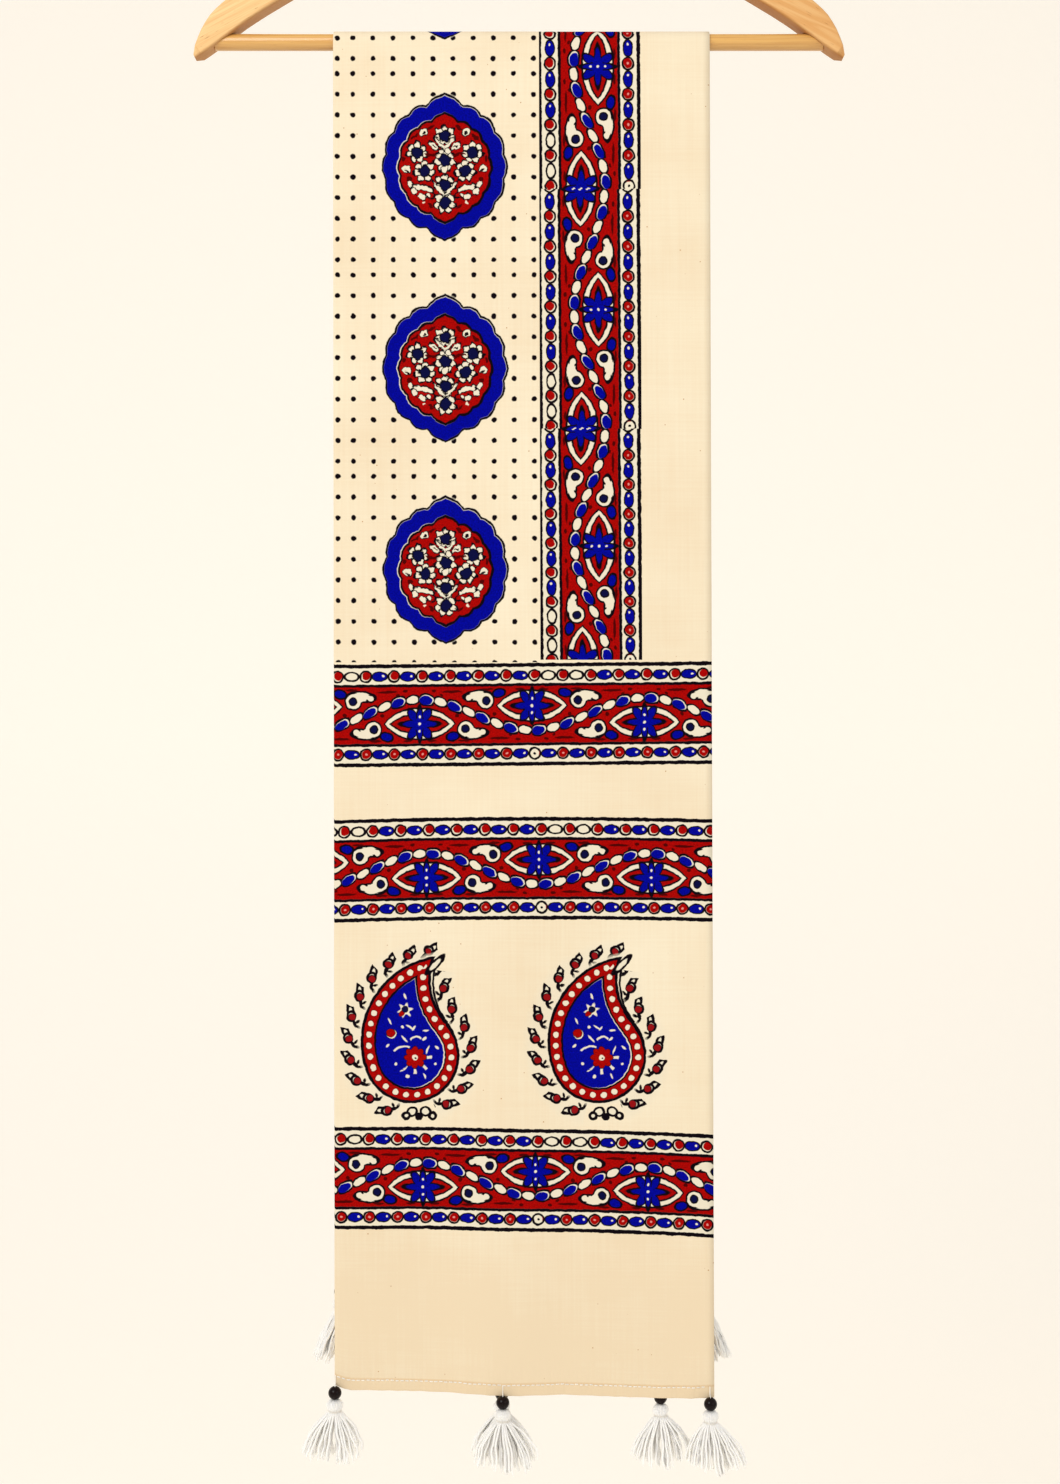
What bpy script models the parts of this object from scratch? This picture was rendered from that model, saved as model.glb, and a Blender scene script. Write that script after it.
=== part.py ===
"""Block-printed cotton stole, folded lengthwise and hung over the bar of a wooden coat hanger.

Metres, +Z up. The printed front faces -Y.
The origin is the saddle of the hook, where a rail carries the hanger.
"""

import math

import bmesh
import bpy

PIECE_GAP = 0.0003  # between pieces that touch

# Hanger
BAR_DROP = 0.195  # from the hook's saddle down to the bar's axis
BAR_RADIUS = 0.0055
BAR_HALF_LENGTH = 0.208
BAR_SIDES = 24
ARM_THICKNESS = 0.015
ARM_EDGE_ROUND = 0.0015
SOCKET_CLEARANCE = 0.0004
NECK_TOP = 0.132  # above the bar's axis
HOOK_WIRE_RADIUS = 0.002
HOOK_INNER_RADIUS = 0.019
HOOK_BEND = 60  # degrees that the stem bends before the hook's circle begins
HOOK_TIP = 196  # degrees round the circle, where the wire ends
HOOK_BEND_STEPS, HOOK_CIRCLE_STEPS, HOOK_SOCKET_SIDES = 5, 16, 12
HOOK_ROOT_DEPTH = 0.014  # of the wire in the neck

# Half of the arms' outline seen from the front: distance from the middle, height above the bar's axis
ARM_TOP_EDGE = [
    {"out": 0.000, "up": 0.1320},
    {"out": 0.009, "up": 0.1310},
    {"out": 0.020, "up": 0.1215},
    {"out": 0.042, "up": 0.1110},
    {"out": 0.075, "up": 0.0970},
    {"out": 0.115, "up": 0.0790},
    {"out": 0.155, "up": 0.0570},
    {"out": 0.180, "up": 0.0415},
    {"out": 0.198, "up": 0.0286},
    {"out": 0.2119, "up": 0.0154},
    {"out": 0.2200, "up": 0.0010},
    {"out": 0.2220, "up": -0.0048},
]
ARM_UNDER_EDGE = [
    {"out": 0.2208, "up": -0.0074},
    {"out": 0.2182, "up": -0.0072},
    {"out": 0.2063, "up": -0.0006},
    {"out": 0.1855, "up": 0.0126},
    {"out": 0.1598, "up": 0.0286},
    {"out": 0.1200, "up": 0.0515},
    {"out": 0.0800, "up": 0.0705},
    {"out": 0.0400, "up": 0.0840},
    {"out": 0.0000, "up": 0.0895},
]

# Stole: one sheet, folded lengthwise behind itself, its fold on the left
SHEET = 0.0010
HEM_SHEET = 0.0016
HEM_DEPTH = 0.0080
LAYER_GAP = 0.0010
FOLD_X = -0.1265
OUTER_EDGE_X = 0.1299
INNER_EDGE_X = 0.1163
BACK_DROP = 0.8560
INNER_HEM_RISE = 0.0048  # the hidden layer's hem ends this much higher
LEFT_DRIFT, RIGHT_DRIFT = 0.0014, 0.0027  # how far the side edges run to the right by the hem
ROLL_TURN = 1.5  # how far the drops' slow waves turn on the way down
# Those waves at the hem: half height, length across and phase
ROLL = {
    "front": {"size": 0.0014, "length": 0.150, "start": 0.6},
    "back": {"size": 0.0012, "length": 0.170, "start": 2.1},
}
HEM_STEP = 0.0007  # of the drop, over which the hem's turned edge thins to the single sheet
ACROSS_LAYER, ACROSS_FOLD = 11, 4
DROP_ROWS, OVER_BAR = 15, 8

# The front hem dips to the right: place across, drop below the bar's axis
FRONT_HEM = [
    {"x": -0.1265, "drop": 0.9160},
    {"x": -0.1180, "drop": 0.9192},
    {"x": -0.0800, "drop": 0.9202},
    {"x": -0.0460, "drop": 0.9210},
    {"x": -0.0110, "drop": 0.9228},
    {"x": 0.0280, "drop": 0.9226},
    {"x": 0.0690, "drop": 0.9242},
    {"x": 0.0960, "drop": 0.9250},
    {"x": 0.1160, "drop": 0.9248},
    {"x": 0.1326, "drop": 0.9236},
]

# Tassels on each end of the stole: place across, the layer that each is sewn to, how far its skirt sways to
# the right, and how far its bead hangs back from where it would touch the outer hem
TASSELS = [
    {"name": "front_1", "x": 0.1296, "end": "front", "layer": "outer", "sway": 0.0048, "back": 0.0},
    {"name": "front_2", "x": -0.0109, "end": "front", "layer": "outer", "sway": 0.0029, "back": 0.0},
    {"name": "front_3", "x": -0.1246, "end": "front", "layer": "outer", "sway": -0.0004, "back": 0.0},
    {"name": "front_4", "x": -0.0118, "end": "front", "layer": "inner", "sway": 0.0010, "back": 0.0016},
    {"name": "front_5", "x": 0.0966, "end": "front", "layer": "inner", "sway": 0.0022, "back": 0.0},
    {"name": "back_1", "x": 0.1275, "end": "back", "layer": "outer", "sway": 0.0025, "back": 0.0},
    {"name": "back_2", "x": 0.0040, "end": "back", "layer": "outer", "sway": -0.0020, "back": 0.0},
    {"name": "back_3", "x": -0.1235, "end": "back", "layer": "outer", "sway": -0.0030, "back": 0.0},
    {"name": "back_4", "x": -0.0080, "end": "back", "layer": "inner", "sway": -0.0015, "back": 0.0},
    {"name": "back_5", "x": 0.0970, "end": "back", "layer": "inner", "sway": -0.0020, "back": 0.0},
]
BEAD_RADIUS = 0.0045
BEAD_BORE = 0.00095
BEAD_SIDES = 10
BEAD_RINGS = 8
THREAD_RADIUS = 0.0006
THREAD_ABOVE_HEM = 0.0080
THREAD_INTO_HEAD = 0.0001
# Above the edge of its own layer's hem, where the thread leaves the cloth, and below it, the bead's middle
THREAD_BEND = {"outer": 0.0045, "inner": -0.0001}
BEAD_BELOW_HEM = {"outer": 0.0030, "inner": 0.0062}
TASSEL_SIDES = 10
HEAD_HEIGHT = 0.0078
HEAD_PROFILE = [
    {"down": 0.0000, "radius": 0.0016},
    {"down": 0.0010, "radius": 0.0042},
    {"down": 0.0032, "radius": 0.0055},
    {"down": 0.0056, "radius": 0.0050},
    {"down": 0.0066, "radius": 0.0041},
    {"down": 0.0078, "radius": 0.0047},
]
ROOT_RINGS = [{"radius": 0.0031}, {"radius": 0.0013}]
ROOT_INSET = 0.00022
LOCK_UNEVEN = 0.025  # share of a lock's length, by which it may be longer or shorter
LOCK_WAVES = [{"turns": 5.1, "shift": 40.0}, {"turns": 2.3, "shift": 90.0}]
SKIRT_LENGTH = 0.0330
SKIRT_HALF_WIDTH = 0.0176  # to the outermost locks' middles
SKIRT_HALF_DEPTH = {"outer": 0.0054, "inner": 0.0036}
# A lock's way down: share of its length, share of its flare, and its width and depth
LOCK_STATIONS = [
    {"down": 0.40, "flare": 0.62, "wide": 0.0027, "deep": 0.0012},
    {"down": 1.00, "flare": 1.00, "wide": 0.0022, "deep": 0.0010},
]


def clear_scene():
    for old in list(bpy.data.objects):
        bpy.data.objects.remove(old)


def make_material(name, colour, roughness, metallic=0.0):
    material = bpy.data.materials.new(name)
    material.use_nodes = True
    shader = material.node_tree.nodes["Principled BSDF"]
    shader.inputs["Base Color"].default_value = (*colour, 1.0)
    shader.inputs["Roughness"].default_value = roughness
    shader.inputs["Metallic"].default_value = metallic
    return material


def add_object(name, bm, material, smooth_under=None):
    """Makes the bmesh an object, with its faces turned outwards."""
    bmesh.ops.recalc_face_normals(bm, faces=bm.faces[:])
    mesh = bpy.data.meshes.new(name)
    bm.to_mesh(mesh)
    bm.free()
    if smooth_under is not None:
        mesh.shade_smooth()
        mesh.set_sharp_from_angle(angle=math.radians(smooth_under))
    mesh.materials.append(material)
    obj = bpy.data.objects.new(name, mesh)
    bpy.context.scene.collection.objects.link(obj)
    return obj


def add_tube(bm, rings):
    """Faces between successive rings of points, and the rings' vertices."""
    loops = [[bm.verts.new(point) for point in ring] for ring in rings]
    for upper, lower in zip(loops, loops[1:]):
        for k in range(len(upper)):
            after = (k + 1) % len(upper)
            bm.faces.new((upper[k], upper[after], lower[after], lower[k]))
    return loops


def circle_points(middle, radius, sides):
    x, y, z = middle
    angles = [2 * math.pi * k / sides for k in range(sides)]
    return [(x + radius * math.cos(a), y + radius * math.sin(a), z) for a in angles]


def smooth_curve(points):
    """The given points, with one more between each two of them on a smooth curve through all."""
    ends = [points[0], *points, points[-1]]
    curve = []
    for before, start, stop, after in zip(ends, ends[1:], ends[2:], ends[3:]):
        middle = [(9 * (b + c) - a - d) / 16 for a, b, c, d in zip(before, start, stop, after)]
        curve += [start, tuple(middle)]
    return [*curve, points[-1]]


def between(table, key, value, at):
    """Reads a table's column at a place, in straight lines between its rows."""
    if at <= table[0][key]:
        return table[0][value]
    for low, high in zip(table, table[1:]):
        if at <= high[key]:
            share = (at - low[key]) / (high[key] - low[key])
            return low[value] + share * (high[value] - low[value])
    return table[-1][value]


def cutter(name, bm):
    obj = add_object(name, bm, make_material(name, (0.5, 0.5, 0.5), 1.0))
    obj.hide_render = True
    obj.display_type = "WIRE"
    return obj


def add_boolean(obj, tool):
    cut = obj.modifiers.new(f"cut {tool.name}", "BOOLEAN")
    cut.operation = "DIFFERENCE"
    cut.solver = "EXACT"
    cut.object = tool


def add_rod(bm, rings):
    """A tube with both its ends closed."""
    loops = add_tube(bm, rings)
    bm.faces.new(loops[0])
    bm.faces.new(loops[-1])


def rod_along_bar(half_length, radius):
    """Rings round the bar's axis, one at each end."""
    ring = circle_points((0, -BAR_DROP, 0), radius, BAR_SIDES)
    return [[(x, y, z) for y, z, _ in ring] for x in (-half_length, half_length)]


def make_arms(wood):
    """Both arms and the neck, sawn from one board, with sockets for the bar and the hook."""
    top = smooth_curve([(row["out"], row["up"]) for row in ARM_TOP_EDGE])
    under = smooth_curve([(row["out"], row["up"]) for row in ARM_UNDER_EDGE])
    half = top + under
    other_half = [(-out, up) for out, up in reversed(half[1:-1])]
    bm = bmesh.new()
    front = [bm.verts.new((out, -ARM_THICKNESS / 2, up - BAR_DROP)) for out, up in half + other_half]
    face = bm.faces.new(front)
    pushed = bmesh.ops.extrude_face_region(bm, geom=[face])["geom"]
    moved = [item for item in pushed if isinstance(item, bmesh.types.BMVert)]
    bmesh.ops.translate(bm, verts=moved, vec=(0, ARM_THICKNESS, 0))
    arms = add_object("hanger_arms", bm, wood, 40)
    bevel = arms.modifiers.new("rounded edges", "BEVEL")
    bevel.width = ARM_EDGE_ROUND
    bevel.segments = 2
    bevel.limit_method = "ANGLE"
    bevel.angle_limit = math.radians(40)

    socket = bmesh.new()
    add_rod(socket, rod_along_bar(BAR_HALF_LENGTH + SOCKET_CLEARANCE, BAR_RADIUS + SOCKET_CLEARANCE))
    add_boolean(arms, cutter("bar_socket", socket))

    hole = bmesh.new()
    neck = NECK_TOP - BAR_DROP
    bore = HOOK_WIRE_RADIUS + SOCKET_CLEARANCE
    depth = HOOK_ROOT_DEPTH + SOCKET_CLEARANCE
    add_rod(hole, [circle_points((0, 0, z), bore, HOOK_SOCKET_SIDES) for z in (neck + depth, neck - depth)])
    add_boolean(arms, cutter("hook_socket", hole))


def make_bar(wood):
    bm = bmesh.new()
    add_rod(bm, rod_along_bar(BAR_HALF_LENGTH, BAR_RADIUS))
    add_object("hanger_bar", bm, wood, 40)


def hook_route():
    """The wire's middle line: up out of the neck, a bend to the right, then round over the rail."""
    radius = HOOK_INNER_RADIUS + HOOK_WIRE_RADIUS
    turn = math.radians(HOOK_BEND)
    bend = radius * math.cos(turn) / (1 - math.cos(turn))
    stem_top = -HOOK_INNER_RADIUS - (radius + bend) * math.sin(turn)
    route = [(0.0, NECK_TOP - BAR_DROP - HOOK_ROOT_DEPTH)]
    for k in range(HOOK_BEND_STEPS):
        swing = turn * k / HOOK_BEND_STEPS
        route.append((bend * (1 - math.cos(swing)), stem_top + bend * math.sin(swing)))
    for k in range(HOOK_CIRCLE_STEPS + 1):
        angle = math.radians(-HOOK_BEND + (HOOK_TIP + HOOK_BEND) * k / HOOK_CIRCLE_STEPS)
        route.append((radius * math.cos(angle), -HOOK_INNER_RADIUS + radius * math.sin(angle)))
    return route


def make_hook(steel):
    curve = bpy.data.curves.new("hanger_hook", "CURVE")
    curve.dimensions = "3D"
    curve.bevel_depth = HOOK_WIRE_RADIUS
    curve.bevel_resolution = 2
    curve.use_fill_caps = True
    route = hook_route()
    spline = curve.splines.new("POLY")
    spline.points.add(len(route) - 1)
    for point, (x, z) in zip(spline.points, route):
        point.co = (x, 0.0, z, 1.0)
    curve.materials.append(steel)
    hook = bpy.data.objects.new("hanger_hook", curve)
    bpy.context.scene.collection.objects.link(hook)


def inner_offset():
    return PIECE_GAP + SHEET / 2


def outer_offset():
    return inner_offset() + SHEET + LAYER_GAP


def fold_section():
    """The folded sheet seen from its end.

    Each point has its x, its distance off the bar's surface, the way its printed side faces, and whether it
    belongs to the outer layer (1), the inner one (0) or the fold between them.
    """
    inner, outer = inner_offset(), outer_offset()
    bend = (outer - inner) / 2
    turn_x = FOLD_X + bend
    section = []
    for k in range(ACROSS_LAYER + 1):
        x = OUTER_EDGE_X + (turn_x - OUTER_EDGE_X) * k / ACROSS_LAYER
        section.append({"x": x, "off": outer, "face_x": 0.0, "face_off": 1.0, "outer": 1.0})
    for k in range(1, ACROSS_FOLD):
        angle = math.pi / 2 + math.pi * k / ACROSS_FOLD
        off = inner + bend + bend * math.sin(angle)
        section.append(
            {
                "x": turn_x + bend * math.cos(angle),
                "off": off,
                "face_x": math.cos(angle),
                "face_off": math.sin(angle),
                "outer": (off - inner) / (outer - inner),
            }
        )
    for k in range(ACROSS_LAYER + 1):
        x = turn_x + (INNER_EDGE_X - turn_x) * k / ACROSS_LAYER
        section.append({"x": x, "off": inner, "face_x": 0.0, "face_off": -1.0, "outer": 0.0})
    return section


def hem_drop(end, x, outer):
    """How far below the bar's axis the hem lies."""
    full = between(FRONT_HEM, "x", "drop", x) if end == "front" else BACK_DROP
    return full - (1 - outer) * INNER_HEM_RISE


def drift(x, share):
    """The side edges run a little to the right on the way down."""
    across = (x - FOLD_X) / (OUTER_EDGE_X - FOLD_X)
    return x + share * (LEFT_DRIFT + across * (RIGHT_DRIFT - LEFT_DRIFT))


def roll(end, x, share):
    """How far a drop swells away from the bar's plane, more towards the hem."""
    wave = ROLL[end]
    swing = math.sin(2 * math.pi * x / wave["length"] + wave["start"] + ROLL_TURN * share)
    return wave["size"] * share * (1 + swing)


def sheet_point(row, x, off, outer):
    """Where a point of the folded sheet comes to lie, at a row of its length."""
    reach = BAR_RADIUS + off
    if row["part"] == "bar":
        return (x, -reach * math.cos(row["angle"]), reach * math.sin(row["angle"]) - BAR_DROP)
    side = -1 if row["part"] == "front" else 1
    drop = row["share"] * hem_drop(row["part"], x, outer)
    lean = roll(row["part"], x, row["share"])
    return (drift(x, row["share"]), side * (reach + lean), -drop - BAR_DROP)


def sheet_rows():
    """Rows from the front hem over the bar to the back hem, each with the sheet's thickness there."""

    def drop_rows(part, length):
        hem_top = 1 - HEM_DEPTH / length
        shares = [hem_top - HEM_STEP] + [hem_top * (1 - k / DROP_ROWS) for k in range(1, DROP_ROWS + 1)]
        rows = [{"part": part, "share": s, "sheet": HEM_SHEET} for s in (1.0, hem_top)]
        return rows + [{"part": part, "share": s, "sheet": SHEET} for s in shares]

    front = drop_rows("front", between(FRONT_HEM, "x", "drop", 0.0))
    back = drop_rows("back", BACK_DROP)
    over = [{"part": "bar", "angle": math.pi * k / OVER_BAR, "sheet": SHEET} for k in range(1, OVER_BAR)]
    return front + over + back[::-1]


def make_stole(cotton):
    section = fold_section()
    rings = []
    for row in sheet_rows():
        skins = []
        for sign in (0.5, -0.5):
            push = sign * row["sheet"]
            skins.append(
                [
                    sheet_point(row, s["x"] + push * s["face_x"], s["off"] + push * s["face_off"], s["outer"])
                    for s in section
                ]
            )
        rings.append(skins[0] + skins[1][::-1])
    bm = bmesh.new()
    loops = add_tube(bm, rings)
    for loop in (loops[0], loops[-1]):
        last = len(loop) - 1
        for k in range(len(section) - 1):
            bm.faces.new((loop[k], loop[k + 1], loop[last - k - 1], loop[last - k]))
    add_object("stole", bm, cotton, 60)


def tassel_places(tassel):
    """The hem's edge, the face that the thread lies on, and the bead's middle, each as a real place."""
    end, outer = tassel["end"], 1.0 if tassel["layer"] == "outer" else 0.0
    side = -1 if end == "front" else 1
    x = tassel["x"]
    edge = -hem_drop(end, x, outer) - BAR_DROP
    lean = roll(end, x, 1.0)
    clear = HEM_SHEET / 2 + PIECE_GAP
    below = BEAD_BELOW_HEM[tassel["layer"]]
    outer_hem = BAR_RADIUS + lean + outer_offset()
    if outer:
        thread_y = outer_hem + clear + THREAD_RADIUS
        bead_y = outer_hem + clear + math.sqrt(BEAD_RADIUS**2 - below**2)
    else:
        thread_y = BAR_RADIUS + lean + inner_offset() - clear - THREAD_RADIUS
        bead_y = outer_hem - clear - BEAD_RADIUS - tassel["back"]
    return {"x": x, "edge": edge, "thread_y": side * thread_y, "bead": (x, side * bead_y, edge - below)}


def make_bead(tassel, wood):
    """A turned bead with a bore for the thread."""
    x, y, z = tassel_places(tassel)["bead"]
    first = math.asin(BEAD_BORE / BEAD_RADIUS)
    rings = []
    for k in range(BEAD_RINGS):
        angle = first + (math.pi - 2 * first) * k / (BEAD_RINGS - 1)
        middle = (x, y, z + BEAD_RADIUS * math.cos(angle))
        rings.append(circle_points(middle, BEAD_RADIUS * math.sin(angle), BEAD_SIDES))
    bm = bmesh.new()
    loops = add_tube(bm, rings)
    for k in range(BEAD_SIDES):
        after = (k + 1) % BEAD_SIDES
        bm.faces.new((loops[0][k], loops[0][after], loops[-1][after], loops[-1][k]))
    add_object(f"bead_{tassel['name']}", bm, wood, 60)


def place_face(face, middle, wide, deep):
    """Moves a face of a lock so that it lies level about its new middle, as wide and deep as given."""
    old = face.calc_center_median()
    angles = [math.atan2(vert.co.y - old.y, vert.co.x - old.x) for vert in face.verts]
    for vert, angle in zip(face.verts, angles):
        vert.co = (
            middle[0] + 0.5 * wide * math.cos(angle),
            middle[1] + 0.5 * deep * math.sin(angle),
            middle[2],
        )


def make_tassel(tassel, cotton):
    """Thread, head and flared locks in one piece; the locks grow from the underside of the head."""
    place = tassel_places(tassel)
    bead_x, bead_y, bead_z = place["bead"]
    head_top = bead_z - BEAD_RADIUS - PIECE_GAP
    thread = [
        (place["x"], place["thread_y"], place["edge"] + THREAD_ABOVE_HEM),
        (place["x"], place["thread_y"], place["edge"] + THREAD_BEND[tassel["layer"]]),
        (bead_x, bead_y, bead_z + BEAD_RADIUS),
        (bead_x, bead_y, head_top + THREAD_INTO_HEAD),
    ]
    rings = [circle_points(point, THREAD_RADIUS, TASSEL_SIDES) for point in thread]
    for row in HEAD_PROFILE:
        rings.append(circle_points((bead_x, bead_y, head_top - row["down"]), row["radius"], TASSEL_SIDES))
    root_z = head_top - HEAD_HEIGHT
    for row in ROOT_RINGS:
        rings.append(circle_points((bead_x, bead_y, root_z), row["radius"], TASSEL_SIDES))
    bm = bmesh.new()
    add_rod(bm, rings)
    bmesh.ops.recalc_face_normals(bm, faces=bm.faces[:])

    level = [face for face in bm.faces if abs(face.calc_center_median().z - root_z) < PIECE_GAP]
    root_faces = [face for face in level if len(face.verts) == 4]
    bmesh.ops.inset_individual(bm, faces=root_faces, thickness=ROOT_INSET)
    outermost = (HEAD_PROFILE[-1]["radius"] + ROOT_RINGS[0]["radius"]) / 2
    ways = []
    for face in root_faces:
        middle = face.calc_center_median()
        away_x, away_y = (middle.x - bead_x) / outermost, (middle.y - bead_y) / outermost
        turn = math.atan2(away_y, away_x)
        uneven = sum(math.sin(wave["turns"] * turn + wave["shift"] * bead_x) for wave in LOCK_WAVES)
        flare_x = away_x * SKIRT_HALF_WIDTH
        length = SKIRT_LENGTH * (1 + LOCK_UNEVEN * uneven)
        way = {"x": flare_x, "y": away_y * SKIRT_HALF_DEPTH[tassel["layer"]]}
        ways.append({**way, "down": math.sqrt(length**2 - flare_x**2)})
    faces = root_faces
    for station in LOCK_STATIONS:
        faces = bmesh.ops.extrude_discrete_faces(bm, faces=faces)["faces"]
        for face, way in zip(faces, ways):
            middle = (
                bead_x + way["x"] * station["flare"] + tassel["sway"] * station["down"],
                bead_y + way["y"] * station["flare"],
                root_z - way["down"] * station["down"],
            )
            place_face(face, middle, station["wide"], station["deep"])
    add_object(f"tassel_{tassel['name']}", bm, cotton, 50)


def main():
    clear_scene()
    beech = make_material("beech", (0.82, 0.55, 0.27), 0.45)
    dowel = make_material("varnished dowel", (0.78, 0.52, 0.20), 0.35)
    steel = make_material("plated steel wire", (0.72, 0.72, 0.72), 0.25, 1.0)
    cotton = make_material("printed cotton", (0.98, 0.80, 0.58), 0.9)
    ebony = make_material("dark wood bead", (0.02, 0.008, 0.008), 0.3)
    yarn = make_material("white cotton yarn", (0.95, 0.94, 0.91), 0.9)
    make_arms(beech)
    make_bar(dowel)
    make_hook(steel)
    make_stole(cotton)
    for tassel in TASSELS:
        make_bead(tassel, ebony)
        make_tassel(tassel, yarn)


main()
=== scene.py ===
# %% [markdown]
# # A block-printed ajrakh stole on a wooden coat hanger
#
# The stole is one length of thin cotton, about half a metre wide and 1.8 m long. It is folded lengthwise
# behind itself, with its fold on the left, and hung over the bar of a coat hanger. Its print is put on by
# hand with carved blocks, one colour after another, and a tassel hangs under a dark bead at five places of
# each end. This lesson dresses the plain solids of that object, which come as a fixed frame.

import math
import random

import bpy
import numpy as np
from mathutils import Matrix, Vector


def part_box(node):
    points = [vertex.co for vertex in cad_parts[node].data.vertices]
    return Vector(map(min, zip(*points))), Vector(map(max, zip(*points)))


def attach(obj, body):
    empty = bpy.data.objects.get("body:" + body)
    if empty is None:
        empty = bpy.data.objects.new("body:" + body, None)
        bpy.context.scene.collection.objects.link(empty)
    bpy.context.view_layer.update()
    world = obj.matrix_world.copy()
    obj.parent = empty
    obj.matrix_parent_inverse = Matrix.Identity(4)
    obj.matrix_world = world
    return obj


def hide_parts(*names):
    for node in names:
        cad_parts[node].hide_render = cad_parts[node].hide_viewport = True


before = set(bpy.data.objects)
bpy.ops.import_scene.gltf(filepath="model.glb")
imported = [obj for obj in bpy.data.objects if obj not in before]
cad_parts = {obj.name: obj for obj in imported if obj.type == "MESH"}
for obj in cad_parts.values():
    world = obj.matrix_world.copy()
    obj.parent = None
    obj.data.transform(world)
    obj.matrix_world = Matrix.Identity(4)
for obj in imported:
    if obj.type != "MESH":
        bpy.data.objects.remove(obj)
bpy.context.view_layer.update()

# %% [markdown]
# ## Camera, light and floor
#
# The photograph looks straight on at the middle of the stole, from so near that the undersides of the
# hanger's arms show at its top. The frame below is worked out from real sizes: the picture's width and
# height at the cloth, and the distance to it. A large soft lamp stands at the front left, above the camera,
# a weaker one at the right, and the sky gives the rest. The floor curves up far behind the stole.

# %% Camera
MM = 0.001
BAR_HEIGHT = -0.195  # of the bar's axis; the origin is where the hook hangs
VIEW_CENTRE = Vector((0.0075, 0.0, -0.674))
VIEW_HEIGHT = 1.009  # how much of the object's height the picture takes in at the cloth
VIEW_DISTANCE = 1.260
CLOTH_BEFORE_BAR = 0.009  # how far the cloth's face lies before the bar's axis
SENSOR = 36.0

scene = bpy.context.scene
camera_data = bpy.data.cameras.new("camera")
camera_data.sensor_width = SENSOR
camera_data.lens = SENSOR * (VIEW_DISTANCE - CLOTH_BEFORE_BAR) / VIEW_HEIGHT
camera = bpy.data.objects.new("camera", camera_data)
camera.location = VIEW_CENTRE - Vector((0.0, VIEW_DISTANCE, 0.0))
camera.rotation_euler = (math.pi / 2, 0.0, 0.0)
scene.collection.objects.link(camera)
scene.camera = camera
scene.view_settings.view_transform = "Standard"
print("lens:", round(camera_data.lens, 1), "mm")


# %% [markdown]
# ### Colours and shader sums
#
# Colours are written as they look on a screen and turned linear once. The print needs long sums of shader
# nodes, so the small class below lets such a sum be written as a formula. One function adds every node.

# %% Colours and nodes
def linear(hex_colour):
    """The linear RGBA of an sRGB colour written as six hex digits."""
    shares = [int(hex_colour[k : k + 2], 16) / 255 for k in (0, 2, 4)]
    return (*[s / 12.92 if s <= 0.04045 else ((s + 0.055) / 1.055) ** 2.4 for s in shares], 1.0)


def add(tree, kind, inputs=(), output=0, **settings):
    """Adds one node with its settings. Its inputs are plain values or outputs of other nodes."""
    node = tree.nodes.new(kind)
    for name, value in settings.items():
        setattr(node, name, value)
    sockets = inputs.items() if isinstance(inputs, dict) else enumerate(inputs)
    for socket, value in sockets:
        if isinstance(value, Field):
            tree.links.new(value.socket, node.inputs[socket])
        else:
            node.inputs[socket].default_value = value
    return Field(tree, node.outputs[output])


def by_maths(operation, turned=False, **settings):
    """Gives the Field class one of its operators, which adds a Math node."""

    def operator(self, *others):
        inputs = (*others, self) if turned else (self, *others)
        return add(self.tree, "ShaderNodeMath", inputs, operation=operation, **settings)

    return operator


class Field:
    """A number, place or colour at every point of a surface: the output of a shader node."""

    def __init__(self, tree, socket):
        self.tree = tree
        self.socket = socket

    __add__ = __radd__ = by_maths("ADD")
    __sub__ = by_maths("SUBTRACT")
    __rsub__ = by_maths("SUBTRACT", turned=True)
    __mul__ = __rmul__ = by_maths("MULTIPLY")
    __truediv__ = by_maths("DIVIDE")
    __pow__ = by_maths("POWER")
    __abs__ = by_maths("ABSOLUTE")
    sin = by_maths("SINE")
    cos = by_maths("COSINE")
    floor = by_maths("FLOOR")
    fract = by_maths("FRACT")
    fold = by_maths("PINGPONG")
    least = by_maths("MINIMUM")
    most = by_maths("MAXIMUM")
    below = by_maths("LESS_THAN")
    above = by_maths("GREATER_THAN")
    angle_over = by_maths("ARCTAN2")
    ramp = by_maths("MULTIPLY_ADD", use_clamp=True)

    def inside(self, edge, soft):
        """1 where the number is under the edge and 0 where it is over it, with a soft step between."""
        return self.ramp(-1 / soft, edge / soft + 0.5)

    def outside(self, edge, soft):
        """The other way round: 1 where the number is over the edge."""
        return self.ramp(1 / soft, 0.5 - edge / soft)


def new_material(name):
    """A material with an empty node tree but for its output."""
    material = bpy.data.materials.new(name)
    material.use_nodes = True
    tree = material.node_tree
    tree.nodes.clear()
    return material, tree


def finish_material(shader):
    """Joins a shader to its material's output."""
    out = shader.tree.nodes.new("ShaderNodeOutputMaterial")
    shader.tree.links.new(shader.socket, out.inputs["Surface"])
# %% [markdown]
# ## The cloth's shape
#
# The real stole is cut flat, hemmed at both ends, folded once lengthwise and laid over the bar. It could be
# simulated, but a cloth that hangs straight down from a bar keeps its cut, so it is made as a tailor would
# fold it: a flat grid whose columns run across the cloth and whose rows run along it. Each vertex is then
# moved to where that place of the cloth hangs. The hem is real cloth too: its rows turn back behind the
# face. A Solidify modifier gives the sheet the thickness of the cotton.

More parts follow.
